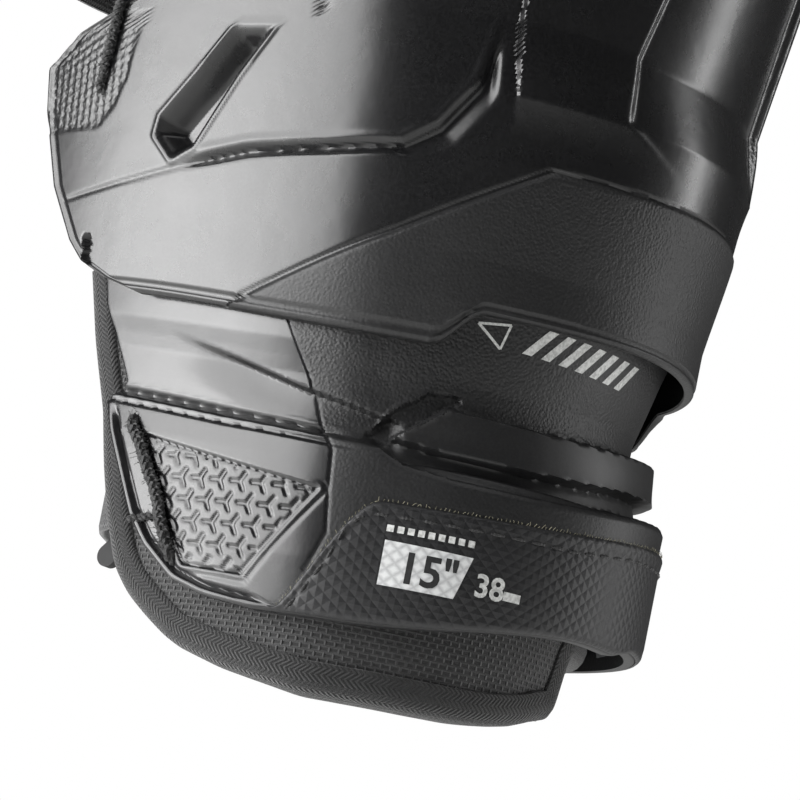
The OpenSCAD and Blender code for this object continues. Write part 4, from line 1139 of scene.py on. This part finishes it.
rows = spaced((420, 0.4), (424, 1.2), (511, 0.4), (515, 1))
half = spaced((0, 1.2), (136, 0.4), (138, 1))
thigh = moulded_shell("thigh_plate_skin", thigh_form, 460, rows, half, thigh_reach, lambda s: 420 + 0 * s,
                            lambda s: 515 - 9 * ease(np.abs(s) / 90), (20, 20), thigh_relief)
thigh.data.materials.append(moulded)
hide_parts("thigh_plate")
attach(thigh, "thigh")
thigh_pad_reach = [(424, 96), (440, 112), (480, 118), (497, 110), (509, 97), (516, 82), (520, 62)]
quilted_pad("thigh_cushion", "thigh_pad", "thigh", thigh_form, 460, (424, 520), thigh_pad_reach,
            lambda s: 424 + 0 * s, lambda s: 522 - 10 * ease(np.abs(s) / 90), -3.3, 10,
            [[(-46, 424), (-40, 516)], [(46, 424), (40, 516)], [(-112, 462), (112, 462)]])
s = np.linspace(-62, 62, 90)
thigh_tape = binding_tape("thigh_pad_tape", [(-a, 522.6 - 10 * ease(abs(a) / 90)) for a in s], lambda s, z,
                          lift: on_form(
    thigh_form, angle_at(thigh_form, 460, s), z, lift - 3.4), 9.4, width=2.0, build=0.3, arch=0.1)
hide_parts("thigh_pad_binding")
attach(thigh_tape, "thigh")
strap_form = np.array([(440, 72.6, 88.6, 88), (500, 72.6, 88.6, 88)])
for name, node, body, first, last, width, material, slot in (
        ("thigh_strap_web", "thigh_strap", "thigh_strap", 88, 273.5, 30, elastic, "elastic"),
        ("thigh_strap_hook", "thigh_strap_tab", "thigh_strap", 74, 87.5, 24, hook, "rubber"),
        ("thigh_strap_root", "thigh_strap_anchor", "thigh", 274, 288, 26, elastic, "elastic")):
    route = on_form(strap_form, np.linspace(first, last, 60), np.full(60, 470.0))[:, :2]
    strap(name, [node], body, route, 470, width, 2, material, slot=slot)

# Studio: a pale floor well below the hanging guard, two large softboxes at its rear outer side, a
# weaker one over the front, a narrow strip that edges the front, and a weak fill from below.
(stage_floor := mesh_from("studio_floor", np.array(
    [(-3000, -3000, -420), (3000, -3000, -420), (3000, 3000, -420), (-3000, 3000, -420)], float),
                                  [(0, 1, 2, 3)]))
paper, shader = new_material("matt_paper_white")
fibres = add(paper, "TexNoise",
             {"Vector": add(paper, "TexCoord").outputs["Object"], "Scale": 60.0, "Detail": 4.0})
set_inputs(paper, shader, Base_Color=ramp(paper, fibres, (0.3, "#EDEDEB"), (0.7, "#F6F6F5")), Roughness=0.8)
stage_floor.data.materials.append(paper)


def softbox(name, direction, distance, size, watts, aim=(0, 0, 0.06)):
    """A rectangular area light at a distance along a direction, turned to its aim."""
    light = bpy.data.lights.new(name, "AREA")
    light.shape, light.size, light.size_y, light.energy = "RECTANGLE", size[0], size[1], watts
    lamp = bpy.data.objects.new(name, light)
    lamp.location = Vector(aim) + Vector(direction).normalized() * distance
    lamp.rotation_euler = Vector(direction).to_track_quat("Z", "Y").to_euler()
    bpy.context.scene.collection.objects.link(lamp)
    return lamp


softbox("side_softbox", (-0.80, 0.58, 0.24), 1.3, (1.0, 0.9), 27)
softbox("rear_low_softbox", (-0.80, 0.95, -0.22), 1.3, (0.8, 0.8), 15)
softbox("top_softbox", (-0.35, -0.5, 1.0), 1.6, (0.9, 0.9), 4.5)
softbox("front_strip", (0.75, -0.85, 0.15), 1.3, (0.16, 1.0), 6)
softbox("low_front_fill", (-0.45, -1.0, -0.6), 1.2, (0.6, 0.3), 2.5)
# Washes the floor only; what reaches the guard is its bounce.
softbox("floor_wash", (0, 0, 1), 0.001, (6.0, 6.0), 70, aim=(0, 0, -0.28))

world = bpy.data.worlds.new("studio")
bpy.context.scene.world = world
world.use_nodes = True
sky = world.node_tree.nodes["Background"]
seen = world.node_tree.nodes.new("ShaderNodeLightPath")
level = world.node_tree.nodes.new("ShaderNodeMapRange")
level.inputs["To Min"].default_value = 0.045
level.inputs["To Max"].default_value = 1.0
world.node_tree.links.new(seen.outputs["Is Camera Ray"], level.inputs["Value"])
world.node_tree.links.new(level.outputs["Result"], sky.inputs["Strength"])
sky.inputs["Color"].default_value = hex_colour("#FFFFFF")
bpy.context.scene.view_settings.view_transform = "Standard"

from mathutils import Matrix

# Camera: below and outside the front, as if looking up at the ankle end from the outer side.
azimuth, elevation, roll, distance, look = (math.radians(-60), math.radians(-10), math.radians(10.5), 1.1,
                                            Vector((0, 0, 0.06)))
back = (Vector((math.sin(azimuth) * math.cos(elevation), -math.cos(azimuth) * math.cos(elevation),
                math.sin(elevation))))
up = (Vector((0, 0, 1)) - back * back.z).normalized()
right = up.cross(back)
up, right = up * math.cos(roll) - right * math.sin(roll), right * math.cos(roll) + up * math.sin(roll)
lens = bpy.data.cameras.new("camera")
lens.sensor_width, lens.lens = 36, 4730 / 800 * 36
camera = bpy.data.objects.new("camera", lens)
camera.location = look + back * distance + up * 0.0074
camera.rotation_euler = Matrix((right, up, back)).transposed().to_euler()
bpy.context.scene.collection.objects.link(camera)
bpy.context.scene.camera = camera
